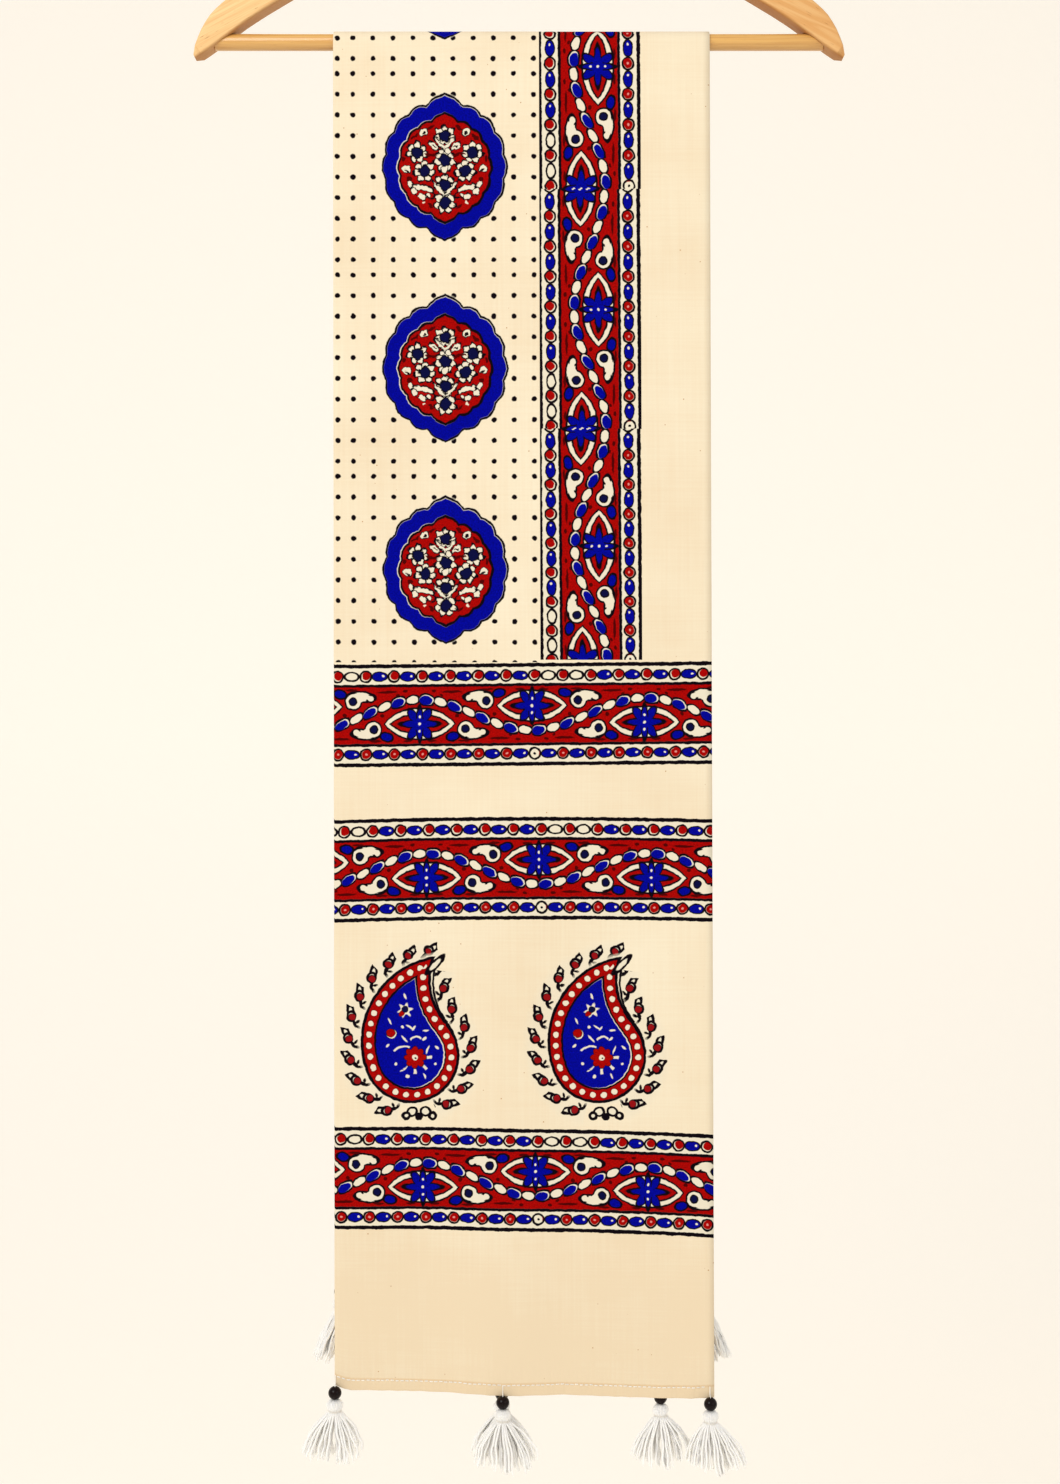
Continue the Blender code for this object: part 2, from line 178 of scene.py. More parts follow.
# %% Sizes of the stole
BAR_RADIUS = 0.0055
COTTON = 0.45 * MM  # thickness of the cloth
FOLD_X = -0.1265
OUTER_EDGE_X = 0.1299
INNER_EDGE_X = 0.1163
FRONT_DROP, BACK_DROP = 0.923, 0.856
INNER_HEM_RISE = 4.8 * MM
LEFT_DRIFT, RIGHT_DRIFT = 1.4 * MM, 2.7 * MM
HEM_DEPTH = 8 * MM
FRONT_ROLL = {"size": 1.4 * MM, "length": 0.150, "start": 0.6}
BACK_ROLL = {"size": 1.2 * MM, "length": 0.170, "start": 2.1}
ROLL_TURN = 1.5
# Off the bar's surface: the two layers lie close on the bar and hang a little apart by the hem
LAYERS_AT_BAR = {"inner": 0.50 * MM, "outer": 1.30 * MM}
LAYERS_AT_HEM = {"inner": 0.80 * MM, "outer": 2.80 * MM}
FRONT_HEM = [  # place across, drop below the bar's axis
    {"x": -0.1265, "drop": 0.9160},
    {"x": -0.1180, "drop": 0.9192},
    {"x": -0.0800, "drop": 0.9202},
    {"x": -0.0460, "drop": 0.9210},
    {"x": -0.0110, "drop": 0.9228},
    {"x": 0.0280, "drop": 0.9226},
    {"x": 0.0690, "drop": 0.9242},
    {"x": 0.0960, "drop": 0.9250},
    {"x": 0.1160, "drop": 0.9248},
    {"x": 0.1326, "drop": 0.9236},
]
UNEVEN_HEM = 0.150  # the height over which the hem's dip fades out
hem_x = [row["x"] for row in FRONT_HEM]
hem_drops = [row["drop"] for row in FRONT_HEM]

# %% [markdown]
# Soft creases come from folding and packing the stole. They are few and low, so each is listed: where its
# middle lies, which way it runs, how long and wide it is, and how far it stands out of the cloth.

# %% Creases and waves
CREASES = [  # millimetres from the middle of the cloth and above the front hem; degrees from upright
    {"across": 3, "above": 62, "turn": 1, "long": 55, "wide": 1.6, "out": 0.22},
    {"across": 3, "above": 235, "turn": 0, "long": 60, "wide": 2.2, "out": 0.16},
    {"across": -96, "above": 24, "turn": -62, "long": 20, "wide": 2.0, "out": 0.45},
    {"across": -104, "above": 14, "turn": -70, "long": 12, "wide": 1.3, "out": -0.35},
    {"across": -84, "above": 46, "turn": -48, "long": 24, "wide": 1.8, "out": 0.26},
    {"across": -40, "above": 60, "turn": -66, "long": 18, "wide": 1.5, "out": 0.22},
    {"across": 62, "above": 34, "turn": 82, "long": 26, "wide": 1.8, "out": 0.20},
    {"across": 96, "above": 20, "turn": 28, "long": 14, "wide": 1.6, "out": 0.38},
    {"across": 107, "above": 16, "turn": 8, "long": 12, "wide": 1.3, "out": -0.30},
    {"across": 86, "above": 430, "turn": 2, "long": 90, "wide": 4.0, "out": 0.35},
    {"across": 112, "above": 640, "turn": -1, "long": 110, "wide": 3.2, "out": 0.30},
    {"across": 101, "above": 760, "turn": 2, "long": 80, "wide": 2.6, "out": -0.22},
    {"across": -60, "above": 400, "turn": 86, "long": 40, "wide": 3.0, "out": 0.18},
    {"across": 30, "above": 405, "turn": 94, "long": 50, "wide": 3.4, "out": 0.16},
]
HEM_RIPPLE = {"size": 0.42 * MM, "length": 15 * MM, "height": 9 * MM}
SLOW_FOLD = {"size": 0.5 * MM, "length": 0.083}


def roll(end, x, share):
    """How far a drop swells away from the bar's plane, more towards the hem."""
    wave = FRONT_ROLL if end == "front" else BACK_ROLL
    swing = math.sin(2 * math.pi * x / wave["length"] + wave["start"] + ROLL_TURN * share)
    return wave["size"] * share * (1 + swing)


def relief(end, x, above, share):
    """The small creases and waves, as a distance out of the cloth."""
    side = 1 if end == "front" else -1
    out = SLOW_FOLD["size"] * share * math.sin(2 * math.pi * x / SLOW_FOLD["length"] + 2 * share + side)
    for crease in CREASES:
        east = x / MM - crease["across"]
        north = above / MM - crease["above"]
        turn = math.radians(crease["turn"])
        along = (north * math.cos(turn) + side * east * math.sin(turn)) / crease["long"]
        beside = (side * east * math.cos(turn) - north * math.sin(turn)) / crease["wide"]
        out += crease["out"] * MM * math.exp(-(along**2) - beside**2)
    bend = 2 * math.pi * x / HEM_RIPPLE["length"] + 2.2 * math.sin(2 * math.pi * x / 0.071 + side)
    return out + HEM_RIPPLE["size"] * math.sin(bend) * math.exp(-above / HEM_RIPPLE["height"])


# %% [markdown]
# ### From the flat cloth to the hanging cloth
#
# Across, a place lies on the outer layer, on the inner one or on the fold between them. Along, it lies on
# the front drop, over the bar or on the back drop. These two functions turn both into a place in the air.

# %% Where a place of the cloth hangs
def layer_off_bar(layer, share):
    """How far a layer of the cloth lies off the bar, more towards the hem."""
    return LAYERS_AT_BAR[layer] + share * (LAYERS_AT_HEM[layer] - LAYERS_AT_BAR[layer])


def cloth_section(column, share):
    """One column seen from the cloth's end: x, distance off the bar, the way its print faces, its layer."""
    inner, outer = layer_off_bar("inner", share), layer_off_bar("outer", share)
    bend = (outer - inner) / 2
    turn_x = FOLD_X + bend
    if column["layer"] == "outer":
        x = OUTER_EDGE_X + (turn_x - OUTER_EDGE_X) * column["at"]
        return x, outer, 0.0, 1.0, 1.0
    if column["layer"] == "inner":
        x = turn_x + (INNER_EDGE_X - turn_x) * column["at"]
        return x, inner, 0.0, -1.0, 0.0
    angle = math.pi / 2 + math.pi * column["at"]
    off = inner + bend + bend * math.sin(angle)
    return turn_x + bend * math.cos(angle), off, math.cos(angle), math.sin(angle), (1 + math.sin(angle)) / 2


def cloth_place(row, column, lift=0.0):
    """Where a place of the cloth hangs, lifted off its printed side by a distance."""
    share = max(0.0, 1 - row["above"] / (FRONT_DROP if row["end"] == "front" else BACK_DROP))
    x, off, face_x, face_off, layer = cloth_section(column, share)
    lift = lift - row["behind"]
    x, off = x + lift * face_x, off + lift * face_off
    if row["end"] == "bar":
        reach = BAR_RADIUS + off
        return x, -reach * math.cos(row["angle"]), reach * math.sin(row["angle"]) + BAR_HEIGHT
    above = row["above"]
    if row["end"] == "front":
        side, drop = -1, FRONT_DROP - above
        drop += (np.interp(x, hem_x, hem_drops) - FRONT_DROP) * max(0.0, 1 - above / UNEVEN_HEM) ** 2
    else:
        side, drop = 1, BACK_DROP - above
    drop -= (1 - layer) * INNER_HEM_RISE * share
    across = (x - FOLD_X) / (OUTER_EDGE_X - FOLD_X)
    moved_x = x + share * (LEFT_DRIFT + across * (RIGHT_DRIFT - LEFT_DRIFT))
    out = BAR_RADIUS + off + roll(row["end"], x, share) + relief(row["end"], x, above, share)
    return moved_x, side * out, BAR_HEIGHT - drop


# %% [markdown]
# ### The flat pattern
#
# A block-printed stole is printed before it is folded, so its print belongs to the flat cloth. Each vertex
# keeps its flat place in the UV map "flat", in metres: u from the middle of the cloth to the right, and v up
# from the front hem. Past the middle of the length the printer turns the cloth round, so there the flat
# places run the other way, and both ends have the same border.

# %% Columns and rows of the flat grid
EDGE_U = 0.2496  # the outer layer's free edge
OUTER_WIDTH = OUTER_EDGE_X - FOLD_X - 1.0 * MM
FOLD_WIDTH = math.pi * MM
INNER_WIDTH = INNER_EDGE_X - FOLD_X - 1.0 * MM
BORDER_MIDDLE, BORDER_HALF = 0.1680, 0.0345
FIELD_MIDDLE = 0.0034
FIELD_HALF = BORDER_MIDDLE - BORDER_HALF - FIELD_MIDDLE
GRID_STEP = 5.1 * MM


def spread(start, stop, step):
    """Places from one line to the next, evenly spread, without the last."""
    count = max(1, round(abs(stop - start) / step))
    return [start + (stop - start) * k / count for k in range(count)]


def spread_over(lines, step):
    """The same through several lines in turn, with the last line's own place."""
    return [at for a, b in zip(lines, lines[1:]) for at in spread(a, b, step)] + [lines[-1]]


turn_u = EDGE_U - OUTER_WIDTH
outer_lines = [EDGE_U, BORDER_MIDDLE + BORDER_HALF, BORDER_MIDDLE - BORDER_HALF, turn_u]
inner_start = turn_u - FOLD_WIDTH
mirrored_border = 2 * FIELD_MIDDLE - BORDER_MIDDLE
inner_lines = [
    inner_start,
    mirrored_border + BORDER_HALF,
    mirrored_border - BORDER_HALF,
    inner_start - INNER_WIDTH,
]
FOLD_STEPS = 6
columns = [
    {"layer": "outer", "at": (EDGE_U - u) / OUTER_WIDTH, "u": u}
    for u in spread_over(outer_lines, GRID_STEP)
]
columns += [
    {"layer": "fold", "at": k / FOLD_STEPS, "u": turn_u - FOLD_WIDTH * k / FOLD_STEPS}
    for k in range(1, FOLD_STEPS)
]
columns += [
    {"layer": "inner", "at": (inner_start - u) / INNER_WIDTH, "u": u}
    for u in spread_over(inner_lines, GRID_STEP)
]

HEM_GAP = 0.55 * MM  # between the face and the cloth that is turned back behind it
HEM_TURN = [  # from the raw edge round to the face: height above the edge, share of the gap behind the face
    {"above": 8.0, "behind": 1.00},
    {"above": 6.0, "behind": 1.00},
    {"above": 4.0, "behind": 1.00},
    {"above": 2.0, "behind": 1.00},
    {"above": 0.6, "behind": 1.00},
    {"above": 0.08, "behind": 0.86},
    {"above": 0.0, "behind": 0.50},
    {"above": 0.08, "behind": 0.14},
]
HEM_FACE = [0.6, 1.6, 2.8, 4.0, 5.2, 6.4, 7.4, 8.2, 9.2, 10.6, 12.4, 14.6, 17.2]  # heights in millimetres
BAND_LINES = [0.1070, 0.1830, 0.3205, 0.3945, 0.4225, 0.4982, 0.4999]  # where the printed areas meet
MEDALLION_V, BLOCK_LENGTH = 0.8357, 0.1372  # the field block's middle nearest the bar, and the blocks' pitch
PRINT_TURN = MEDALLION_V + 1.5 * BLOCK_LENGTH  # from here on the print is turned round
BAR_ROWS = 14
LENGTH = FRONT_DROP + math.pi * (BAR_RADIUS + LAYERS_AT_BAR["outer"]) + BACK_DROP


def drop_rows(end, length, lines):
    """Rows of one hanging drop, from its raw edge up to the bar, each with its height above the hem."""
    rows = [
        {"end": end, "above": t["above"] * MM, "behind": t["behind"] * HEM_GAP, "flat": -t["above"] * MM}
        for t in HEM_TURN
    ]
    heights = [h * MM for h in HEM_FACE] + spread_over([0.0205, *lines, length], GRID_STEP)
    rows += [{"end": end, "above": h, "behind": 0.0, "flat": h} for h in heights]
    return rows


back_turn = LENGTH - PRINT_TURN  # the same line, from the back hem
back_shift = MEDALLION_V - BLOCK_LENGTH / 2 - back_turn  # how much lower the back end's print begins
front_rows = drop_rows("front", FRONT_DROP, BAND_LINES)
back_rows = drop_rows("back", BACK_DROP, [line - back_shift for line in BAND_LINES] + [back_turn])
bar_rows = [
    {"end": "bar", "above": FRONT_DROP, "behind": 0.0, "angle": math.pi * k / BAR_ROWS}
    for k in range(1, BAR_ROWS)
]
for row in front_rows:
    row["v"] = row["flat"]
for row in bar_rows:
    row["v"] = FRONT_DROP + row["angle"] * (BAR_RADIUS + LAYERS_AT_BAR["outer"])
for row in back_rows:
    row["v"] = LENGTH - row["flat"]
rows = front_rows + bar_rows + back_rows[::-1]
print("grid:", len(columns), "by", len(rows), "cloth:", round(LENGTH, 3), "m long")

# %% [markdown]
# ### The sheet, and its printed areas
#
# Each face of the grid gets the material of the printed area that it lies in: the plain cotton, the field
# of dots, the side border, one of the three bands, or the row of paisleys.

# %% Make the sheet
PLAIN, FIELD, BORDER, FIRST_BAND, PAISLEYS, REVERSE = 0, 1, 2, 3, 6, 7


def printed_area(u, v):
    """Which printed area a place of the flat cloth belongs to."""
    band_starts = BAND_LINES[0:5:2]
    band_stops = BAND_LINES[1:4:2] + [BAND_LINES[5] if abs(u - FIELD_MIDDLE) < FIELD_HALF else BAND_LINES[6]]
    for k, (start, stop) in enumerate(zip(band_starts, band_stops)):
        if start < v < stop:
            return FIRST_BAND + k
    if BAND_LINES[1] < v < BAND_LINES[2]:
        return PAISLEYS
    if v > BAND_LINES[5]:
        if abs(u - FIELD_MIDDLE) < FIELD_HALF:
            return FIELD
        if abs(u - FIELD_MIDDLE) < FIELD_HALF + 2 * BORDER_HALF:
            return BORDER
    return PLAIN


def flat_place(column, row):
    """The place of a vertex on the flat cloth."""
    return columns[column]["u"], rows[row]["v"]


bpy.ops.object.select_all(action="DESELECT")
last_column, last_row = len(columns) - 1, len(rows) - 1
bpy.ops.mesh.primitive_grid_add(
    x_subdivisions=last_column, y_subdivisions=last_row, size=1.0, calc_uvs=False
)
stole = bpy.context.object
stole.name = "printed_stole"
sheet = stole.data
grid_place = [
    (round((v.co.x + 0.5) * last_column), round((v.co.y + 0.5) * last_row))
    for v in sheet.vertices
]
for vertex, (column, row) in zip(sheet.vertices, grid_place):
    vertex.co = cloth_place(rows[row], columns[column])
flat = sheet.uv_layers.new(name="flat")
for face in sheet.polygons:
    corners = [flat_place(*grid_place[k]) for k in face.vertices]
    middle_u = sum(u for u, v in corners) / len(corners)
    middle_v = sum(v for u, v in corners) / len(corners)
    turned = middle_v > PRINT_TURN
    if turned:
        corners = [(2 * FIELD_MIDDLE - u, LENGTH + back_shift - v) for u, v in corners]
        middle_u, middle_v = 2 * FIELD_MIDDLE - middle_u, LENGTH + back_shift - middle_v
    for loop, corner in zip(face.loop_indices, corners):
        flat.data[loop].uv = corner
    face.material_index = printed_area(middle_u, middle_v)
bpy.ops.object.mode_set(mode="EDIT")
bpy.ops.mesh.select_all(action="SELECT")
bpy.ops.mesh.normals_make_consistent(inside=False)
bpy.ops.object.mode_set(mode="OBJECT")
outer_face = min(sheet.polygons, key=lambda f: f.center.y)
if outer_face.normal.y > 0:
    sheet.flip_normals()
print_faces = len(sheet.polygons)
print("sheet faces:", print_faces)

# %% [markdown]
# ## The cotton and its block print
#
# An ajrakh printer presses carved wooden blocks on the cloth, one for each colour: black outlines, the red
# ground and the blue fills. No block lands quite true, so slivers of bare cloth show beside the outlines,
# the colour lies unevenly, and each block ends in a small seam. The print could be painted on an image, but
# it is worked out here from its own shapes, in millimetres on the flat cloth, so that it stays sharp at any
# size. Each shape is a number that is below 1 inside it; each press of a block lays its ink where that is so.

# %% Inks and cotton
# Colours are read from the photograph and written a little darker than they show in full light
COTTON_CREAM = linear("efe3c9")
COTTON_WARM = linear("e8d5b6")
COTTON_PALE = linear("e5dcc6")  # cloth that the printer's paste kept from the cream dye
INK_RED, INK_RED_DEEP = linear("b20603"), linear("7c0201")
INK_BLUE, INK_BLUE_DEEP = linear("0207a6"), linear("010262")
INK_BLACK, INK_BLACK_WORN = linear("060206"), linear("120a14")
INK_NIGHT = linear("0a0c3c")  # where black lies over blue
STAIN_RED = linear("4c0202")
BUD_RED = linear("8f1014")
PINK = linear("d98c84")
HUSK = linear("b98a58")
# Painted shade for the hem's band and for the puckers along its stitches
HEM_SHADE = linear("dcbc90")
EDGE_SOFT = 0.30  # millimetres over which an ink's edge fades into the threads


def flat_cloth(tree):
    """The flat place in millimetres, wavering a little as a hand-cut block's edges do."""
    flat_uv = add(tree, "ShaderNodeUVMap", uv_map="flat")
    place = add(tree, "ShaderNodeVectorMath", (flat_uv, (1000, 1000, 1000)), operation="MULTIPLY")
    waver = add(tree, "ShaderNodeTexNoise", {"Vector": place, "Scale": 0.28, "Detail": 2.0}, output=1)
    waver = add(tree, "ShaderNodeVectorMath", (waver, (-0.5, -0.5, -0.5)), operation="ADD")
    wavering = add(tree, "ShaderNodeVectorMath", (waver, (1.5, 1.5, 0), place), operation="MULTIPLY_ADD")
    return place, wavering


def split_all(place):
    """The three coordinates of a place."""
    node = place.tree.nodes.new("ShaderNodeSeparateXYZ")
    place.tree.links.new(place.socket, node.inputs[0])
    return [Field(place.tree, socket) for socket in node.outputs]


def split(place):
    """The two flat coordinates of a place."""
    return split_all(place)[:2]


def joined(u, v):
    """A place from its two coordinates."""
    return add(u.tree, "ShaderNodeCombineXYZ", (u, v))


def flood(tree, colour):
    """One colour everywhere."""
    node = add(tree, "ShaderNodeRGB")
    node.socket.default_value = colour
    return node


def mixed(share, first, second):
    """Two colours or places mixed by a share of the second."""
    return add(first.tree, "ShaderNodeMix", {0: share, 6: first, 7: second}, output=2, data_type="RGBA")


def press(cloth, where, ink):
    """The cloth's colour after a block lays its ink where it touches."""
    return mixed(where, cloth, ink)


def oval(place, middle, half, turn=0.0):
    """A number that is 1 on the edge of an oval and less inside it. Its turn is in degrees."""
    inputs = {
        "Vector": place,
        "Location": (*middle, 0),
        "Rotation": (0, 0, math.radians(turn)),
        "Scale": (*half, 1),
    }
    local = add(place.tree, "ShaderNodeMapping", inputs, vector_type="TEXTURE")
    return add(place.tree, "ShaderNodeVectorMath", (local,), output=1, operation="LENGTH")


def cream_cloth(tree, place):
    """Bare cotton: its dye lies a little unevenly along the threads, with a few brown flecks of husk, and
    painted shade at the hem.
    """
    patchy = add(tree, "ShaderNodeTexNoise", {"Vector": place, "Scale": 0.012, "Detail": 3.0})
    along = add(tree, "ShaderNodeMapping", {"Vector": place, "Scale": (0.55, 0.012, 1)})
    warp = add(tree, "ShaderNodeTexNoise", {"Vector": along, "Scale": 1.0, "Detail": 3.0})
    across = add(tree, "ShaderNodeMapping", {"Vector": place, "Scale": (0.02, 0.7, 1)})
    weft = add(tree, "ShaderNodeTexNoise", {"Vector": across, "Scale": 1.0, "Detail": 2.0})
    u, v = split(place)
    # Warmer and a little darker towards the low end of the flat pattern, most at the front hem
    low_end = v.inside(110.0, 120.0) * 0.4
    share = (patchy * 1.2 + warp * 0.5 + weft * 0.4 + low_end).ramp(1.5, -1.1)
    cloth = mixed(share, flood(tree, COTTON_CREAM), COTTON_WARM)
    # Painted shade: the hem's band below the stitches, and a darker line of painted pucker shadow at them
    hem_shade = v.inside(7.9, 0.3) * 0.22 + abs(v - 8.0).inside(0.7, 0.5) * 0.5
    cloth = mixed(hem_shade * v.above(-1.0), cloth, HEM_SHADE)
    flecks = add(tree, "ShaderNodeTexVoronoi", {"Vector": place, "Scale": 0.085})
    return mixed(flecks.inside(0.035, 0.02), cloth, HUSK)


def ink_colours(tree, place):
    """The inks, each lying thinner in some spots than in others."""
    mottle = add(tree, "ShaderNodeTexNoise", {"Vector": place, "Scale": 0.9, "Detail": 4.0, "Roughness": 0.7})
    share = mottle.ramp(3.0, -1.1)
    return {
        "red": mixed(share, flood(tree, INK_RED), INK_RED_DEEP),
        "blue": mixed(share, flood(tree, INK_BLUE), INK_BLUE_DEEP),
        "black": mixed(share, flood(tree, INK_BLACK), INK_BLACK_WORN),
        "pale": flood(tree, COTTON_PALE),
        "night": flood(tree, INK_NIGHT),
        "stain": flood(tree, STAIN_RED),
        "pink": flood(tree, PINK),
        "bud": flood(tree, BUD_RED),
        "red_deep": flood(tree, INK_RED_DEEP),
    }


# %% [markdown]
# ### Bands and side border
#
# All bands and the side border come from one block, 152 mm long. It holds two flowers, one above the
# middle line and one below it, a chain of beads that winds between them, and a string of beads along each
# side. What grows beside a flower is a short list of ovals, and the other side of the flower mirrors it.

# %% The running creeper of the bands and the side border
BLOCK = 152.4  # millimetres along a band's block, which holds two flowers
HALF_BLOCK = BLOCK / 2
FLOWER_OFF = 5.9  # a flower's middle, off the band's middle line
BEAD_STEP = HALF_BLOCK / 8
PAIR_STEP = BLOCK / 8
STRIP_OFF = 26.5
OUTER_LINE, INNER_LINE, RED_HALF, GROUND_HALF = 33.6, 20.2, 19.5, 34.4

# What grows beside each flower, on both its sides: millimetres along from the flower and off the middle line
CREEPER_FORMS = [
    {"along": 37.2, "off": 12.9, "half": (7.2, 2.9), "turn": -6, "ink": "pale", "line": 1.3},
    {"along": 42.9, "off": 11.6, "half": (2.0, 1.9), "turn": 0, "ink": "pale", "line": 1.2},
    {"along": 31.4, "off": 9.6, "half": (5.0, 5.0), "turn": 0, "ink": "pale", "line": 1.2},
    {"along": 34.4, "off": 11.9, "half": (5.6, 3.5), "turn": 20, "ink": "pale", "line": 0.0},
    {"along": 37.6, "off": 12.9, "half": (6.2, 2.1), "turn": -6, "ink": "pale", "line": 0.0},
    {"along": 31.0, "off": 9.5, "half": (2.1, 2.2), "turn": 0, "ink": "night", "line": 0.9},
    {"along": 22.4, "off": 14.6, "half": (3.6, 2.4), "turn": -14, "ink": "blue", "line": 1.1},
    {"along": 22.0, "off": -15.9, "half": (6.8, 0.9), "turn": 0, "ink": "stain", "line": 0.0},
    {"along": 9.6, "off": -16.6, "half": (1.6, 1.0), "turn": 0, "ink": "stain", "line": 0.0},
    {"along": 25.4, "off": 0.3, "half": (1.4, 1.3), "turn": 0, "ink": "stain", "line": 0.0},
    {"along": 8.0, "off": 17.2, "half": (3.2, 0.9), "turn": 0, "ink": "stain", "line": 0.0},
    {"along": 30.0, "off": 17.4, "half": (4.0, 0.8), "turn": 0, "ink": "stain", "line": 0.0},
    {"along": 14.8, "off": -13.6, "half": (1.3, 0.9), "turn": 30, "ink": "stain", "line": 0.0},
]
# What reaches past the middle between two flowers is drawn from the next flower too, on its other side
CREEPER_FORMS += [
    {**form, "along": HALF_BLOCK - form["along"], "off": -form["off"]}
    for form in CREEPER_FORMS
    if form["along"] + form["half"][0] > HALF_BLOCK / 2
]


def press_oval(cloth, place, middle, form, inks):
    """One oval form: a black outline first, where it has one, then its ink."""
    narrow = min(form["half"])
    soft = EDGE_SOFT / narrow
    q = oval(place, middle, form["half"], form["turn"])
    if form["line"]:
        cloth = press(cloth, q.inside(1 + form["line"] / narrow, soft), inks["black"])
    return press(cloth, q.inside(1.0, soft), inks[form["ink"]])


def press_flower(cloth, aside, off, inks):
    """A blue flower of eight petals in a pointed white frame."""
    frame_q = (aside / 23.2) ** 2.7 + abs(off) / 9.6
    cloth = press(cloth, frame_q.inside(1.17, 0.05), inks["black"])
    cloth = press(cloth, frame_q.inside(1.02, 0.05), inks["pale"])
    cloth = press(cloth, frame_q.inside(0.73, 0.05), inks["black"])
    cloth = press(cloth, frame_q.inside(0.59, 0.05), inks["red"])
    height = abs(off)
    place = joined(aside, height)
    slanted = oval(place, (3.7, 4.8), (5.6, 2.5), 54)
    upright = oval(place, (0, 0), (2.1, 10.4)).least(oval(place, (0, 0), (11.8, 2.4)))
    heart = oval(place, (0, 0), (4.2, 4.4))
    cloth = press(cloth, slanted.least(upright).inside(1.30, 0.12), inks["black"])
    cloth = press(cloth, slanted.least(heart).inside(0.98, 0.12), inks["blue"])
    cloth = press(cloth, upright.inside(1.30, 0.12) * height.outside(3.4, 0.6), inks["black"])
    cloth = press(cloth, upright.inside(0.95, 0.12), inks["blue"])
    cloth = press(cloth, oval(place, (0, 0), (0.9, 0.9)).inside(1.0, 0.4), inks["pale"])
    return press(cloth, oval(place, (0, 5.0), (0.7, 0.9)).inside(1.0, 0.4), inks["pale"])


def press_chain(cloth, along, off, inks):
    """The chain of white and blue beads that winds between the flowers."""
    beside = off - (along * (math.pi / HALF_BLOCK)).cos() * 10.7
    step = along / BEAD_STEP + 1.0
    blue = step.floor().fold(1.0)
    place = joined((step.fract() - 0.5) * BEAD_STEP, beside)
    cloth = press(cloth, abs(beside).inside(0.6, EDGE_SOFT), inks["black"])
    q = oval(place, (0, 0), (3.9, 2.6)) / (blue * 0.2 + 1.0)
    cloth = press(cloth, q.inside(1.44, 0.10), inks["black"])
    cloth = press(cloth, q.inside(1.0, 0.09), inks["pale"])
    fill = oval(place, (-0.5, 0.3), (4.3, 3.0)).inside(1.0, 0.09) * blue
    return press(cloth, fill, inks["blue"])


def press_strip(cloth, along, off, inks):
    """The string of red beads and blue ovals along each side of a band."""
    lower = off.above(0.0)
    beside = off - lower * (2 * STRIP_OFF) + STRIP_OFF
    pair = (along - 1.6 - lower * 0.2) / PAIR_STEP
    in_block = (along / BLOCK).fract() * BLOCK
    bare = in_block.inside(36.0, 0.1) * in_block.outside(4.5, 0.1) * (1 - lower)
    joint = (in_block.inside(4.5, 0.1) + in_block.outside(BLOCK - 4.5, 0.1)) * lower
    cloth = press(cloth, abs(beside).inside(0.65, EDGE_SOFT), inks["black"])
    place = joined(((pair + 0.5).fract() - 0.5) * PAIR_STEP, beside)
    q = oval(place, (0, 0), (4.0, 4.0))
    cloth = press(cloth, q.inside(1.10, 0.09), inks["black"])
    cloth = press(cloth, q.inside(0.74, 0.09), inks["pale"])
    fill = oval(place, (0.4, -0.4), (2.8, 2.8)).least(q / 0.72 + (1 - lower)).inside(1.0, 0.10)
    cloth = press(cloth, fill * (1 - joint), inks["red"])
    glint = oval(place, (0.2, -0.2), (0.8, 0.7)).inside(1.0, 0.5)
    cloth = press(cloth, glint * (lower - joint), inks["pink"])
    cloth = press(cloth, oval(place, (0, 0), (0.9, 0.9)).inside(1.0, 0.3) * joint, inks["black"])
    place = joined((pair.fract() - 0.5) * PAIR_STEP, beside)
    q = oval(place, (0, 0), (5.0, 3.2))
    cloth = press(cloth, q.inside(1.12, 0.09), inks["black"])
    cloth = press(cloth, q.inside(0.74, 0.09), inks["pale"])
    fill = oval(place, (-0.1, 0.0), (4.5, 2.7)).inside(1.0, 0.10) * (1 - bare)
    cloth = press(cloth, fill, inks["blue"])
    return press(cloth, oval(place, (2.4, -0.3), (0.8, 0.7)).inside(1.0, 0.4), inks["pale"])


def press_band(cloth, along, off, inks):
    """A whole band: its pale ground, red middle, creeper, strings of beads and black lines."""
    cell = (along / HALF_BLOCK + 0.5).floor()
    from_flower = along - cell * HALF_BLOCK
    aside = abs(from_flower)
    low = cell.fold(1.0)
    grown_off = off * (low * 2.0 - 1.0)
    cloth = press(cloth, abs(off).inside(GROUND_HALF, 0.8), inks["pale"])
    cloth = press(cloth, abs(off + 0.15).inside(RED_HALF, EDGE_SOFT), inks["red"])
    beside_flower = joined(aside, grown_off)
    for form in CREEPER_FORMS:
        cloth = press_oval(cloth, beside_flower, (form["along"], form["off"]), form, inks)
    cloth = press_flower(cloth, aside, grown_off - FLOWER_OFF, inks)
    cloth = press_chain(cloth, along, off, inks)
    cloth = press_strip(cloth, along, off, inks)
    for line, half_width in ((INNER_LINE, 1.0), (OUTER_LINE, 1.3)):
        cloth = press(cloth, abs(abs(off) - line).inside(half_width, EDGE_SOFT), inks["black"])
    return cloth


# %% [markdown]
# ### Field
#
# The field's block is pressed again and again along the cloth: rows of dots, with a round medallion in
# the middle that they leave clear. The medallion's edge is worked out from the angle round its middle.

# %% The field: rows of dots and the round medallions
FIELD_BLOCK = {"wide": 133.3, "tall": 137.2}
MEDALLION_MIDDLE = (69.4, 835.7)
DOT_STEP = {"wide": 13.64, "tall": 14.1}
DOT_RADIUS = 1.8
MEDALLION_HALF = (40.6, 49.0)
FLOWER_WAVER = 4.2  # how far the cut of the small flowers strays, from side to side

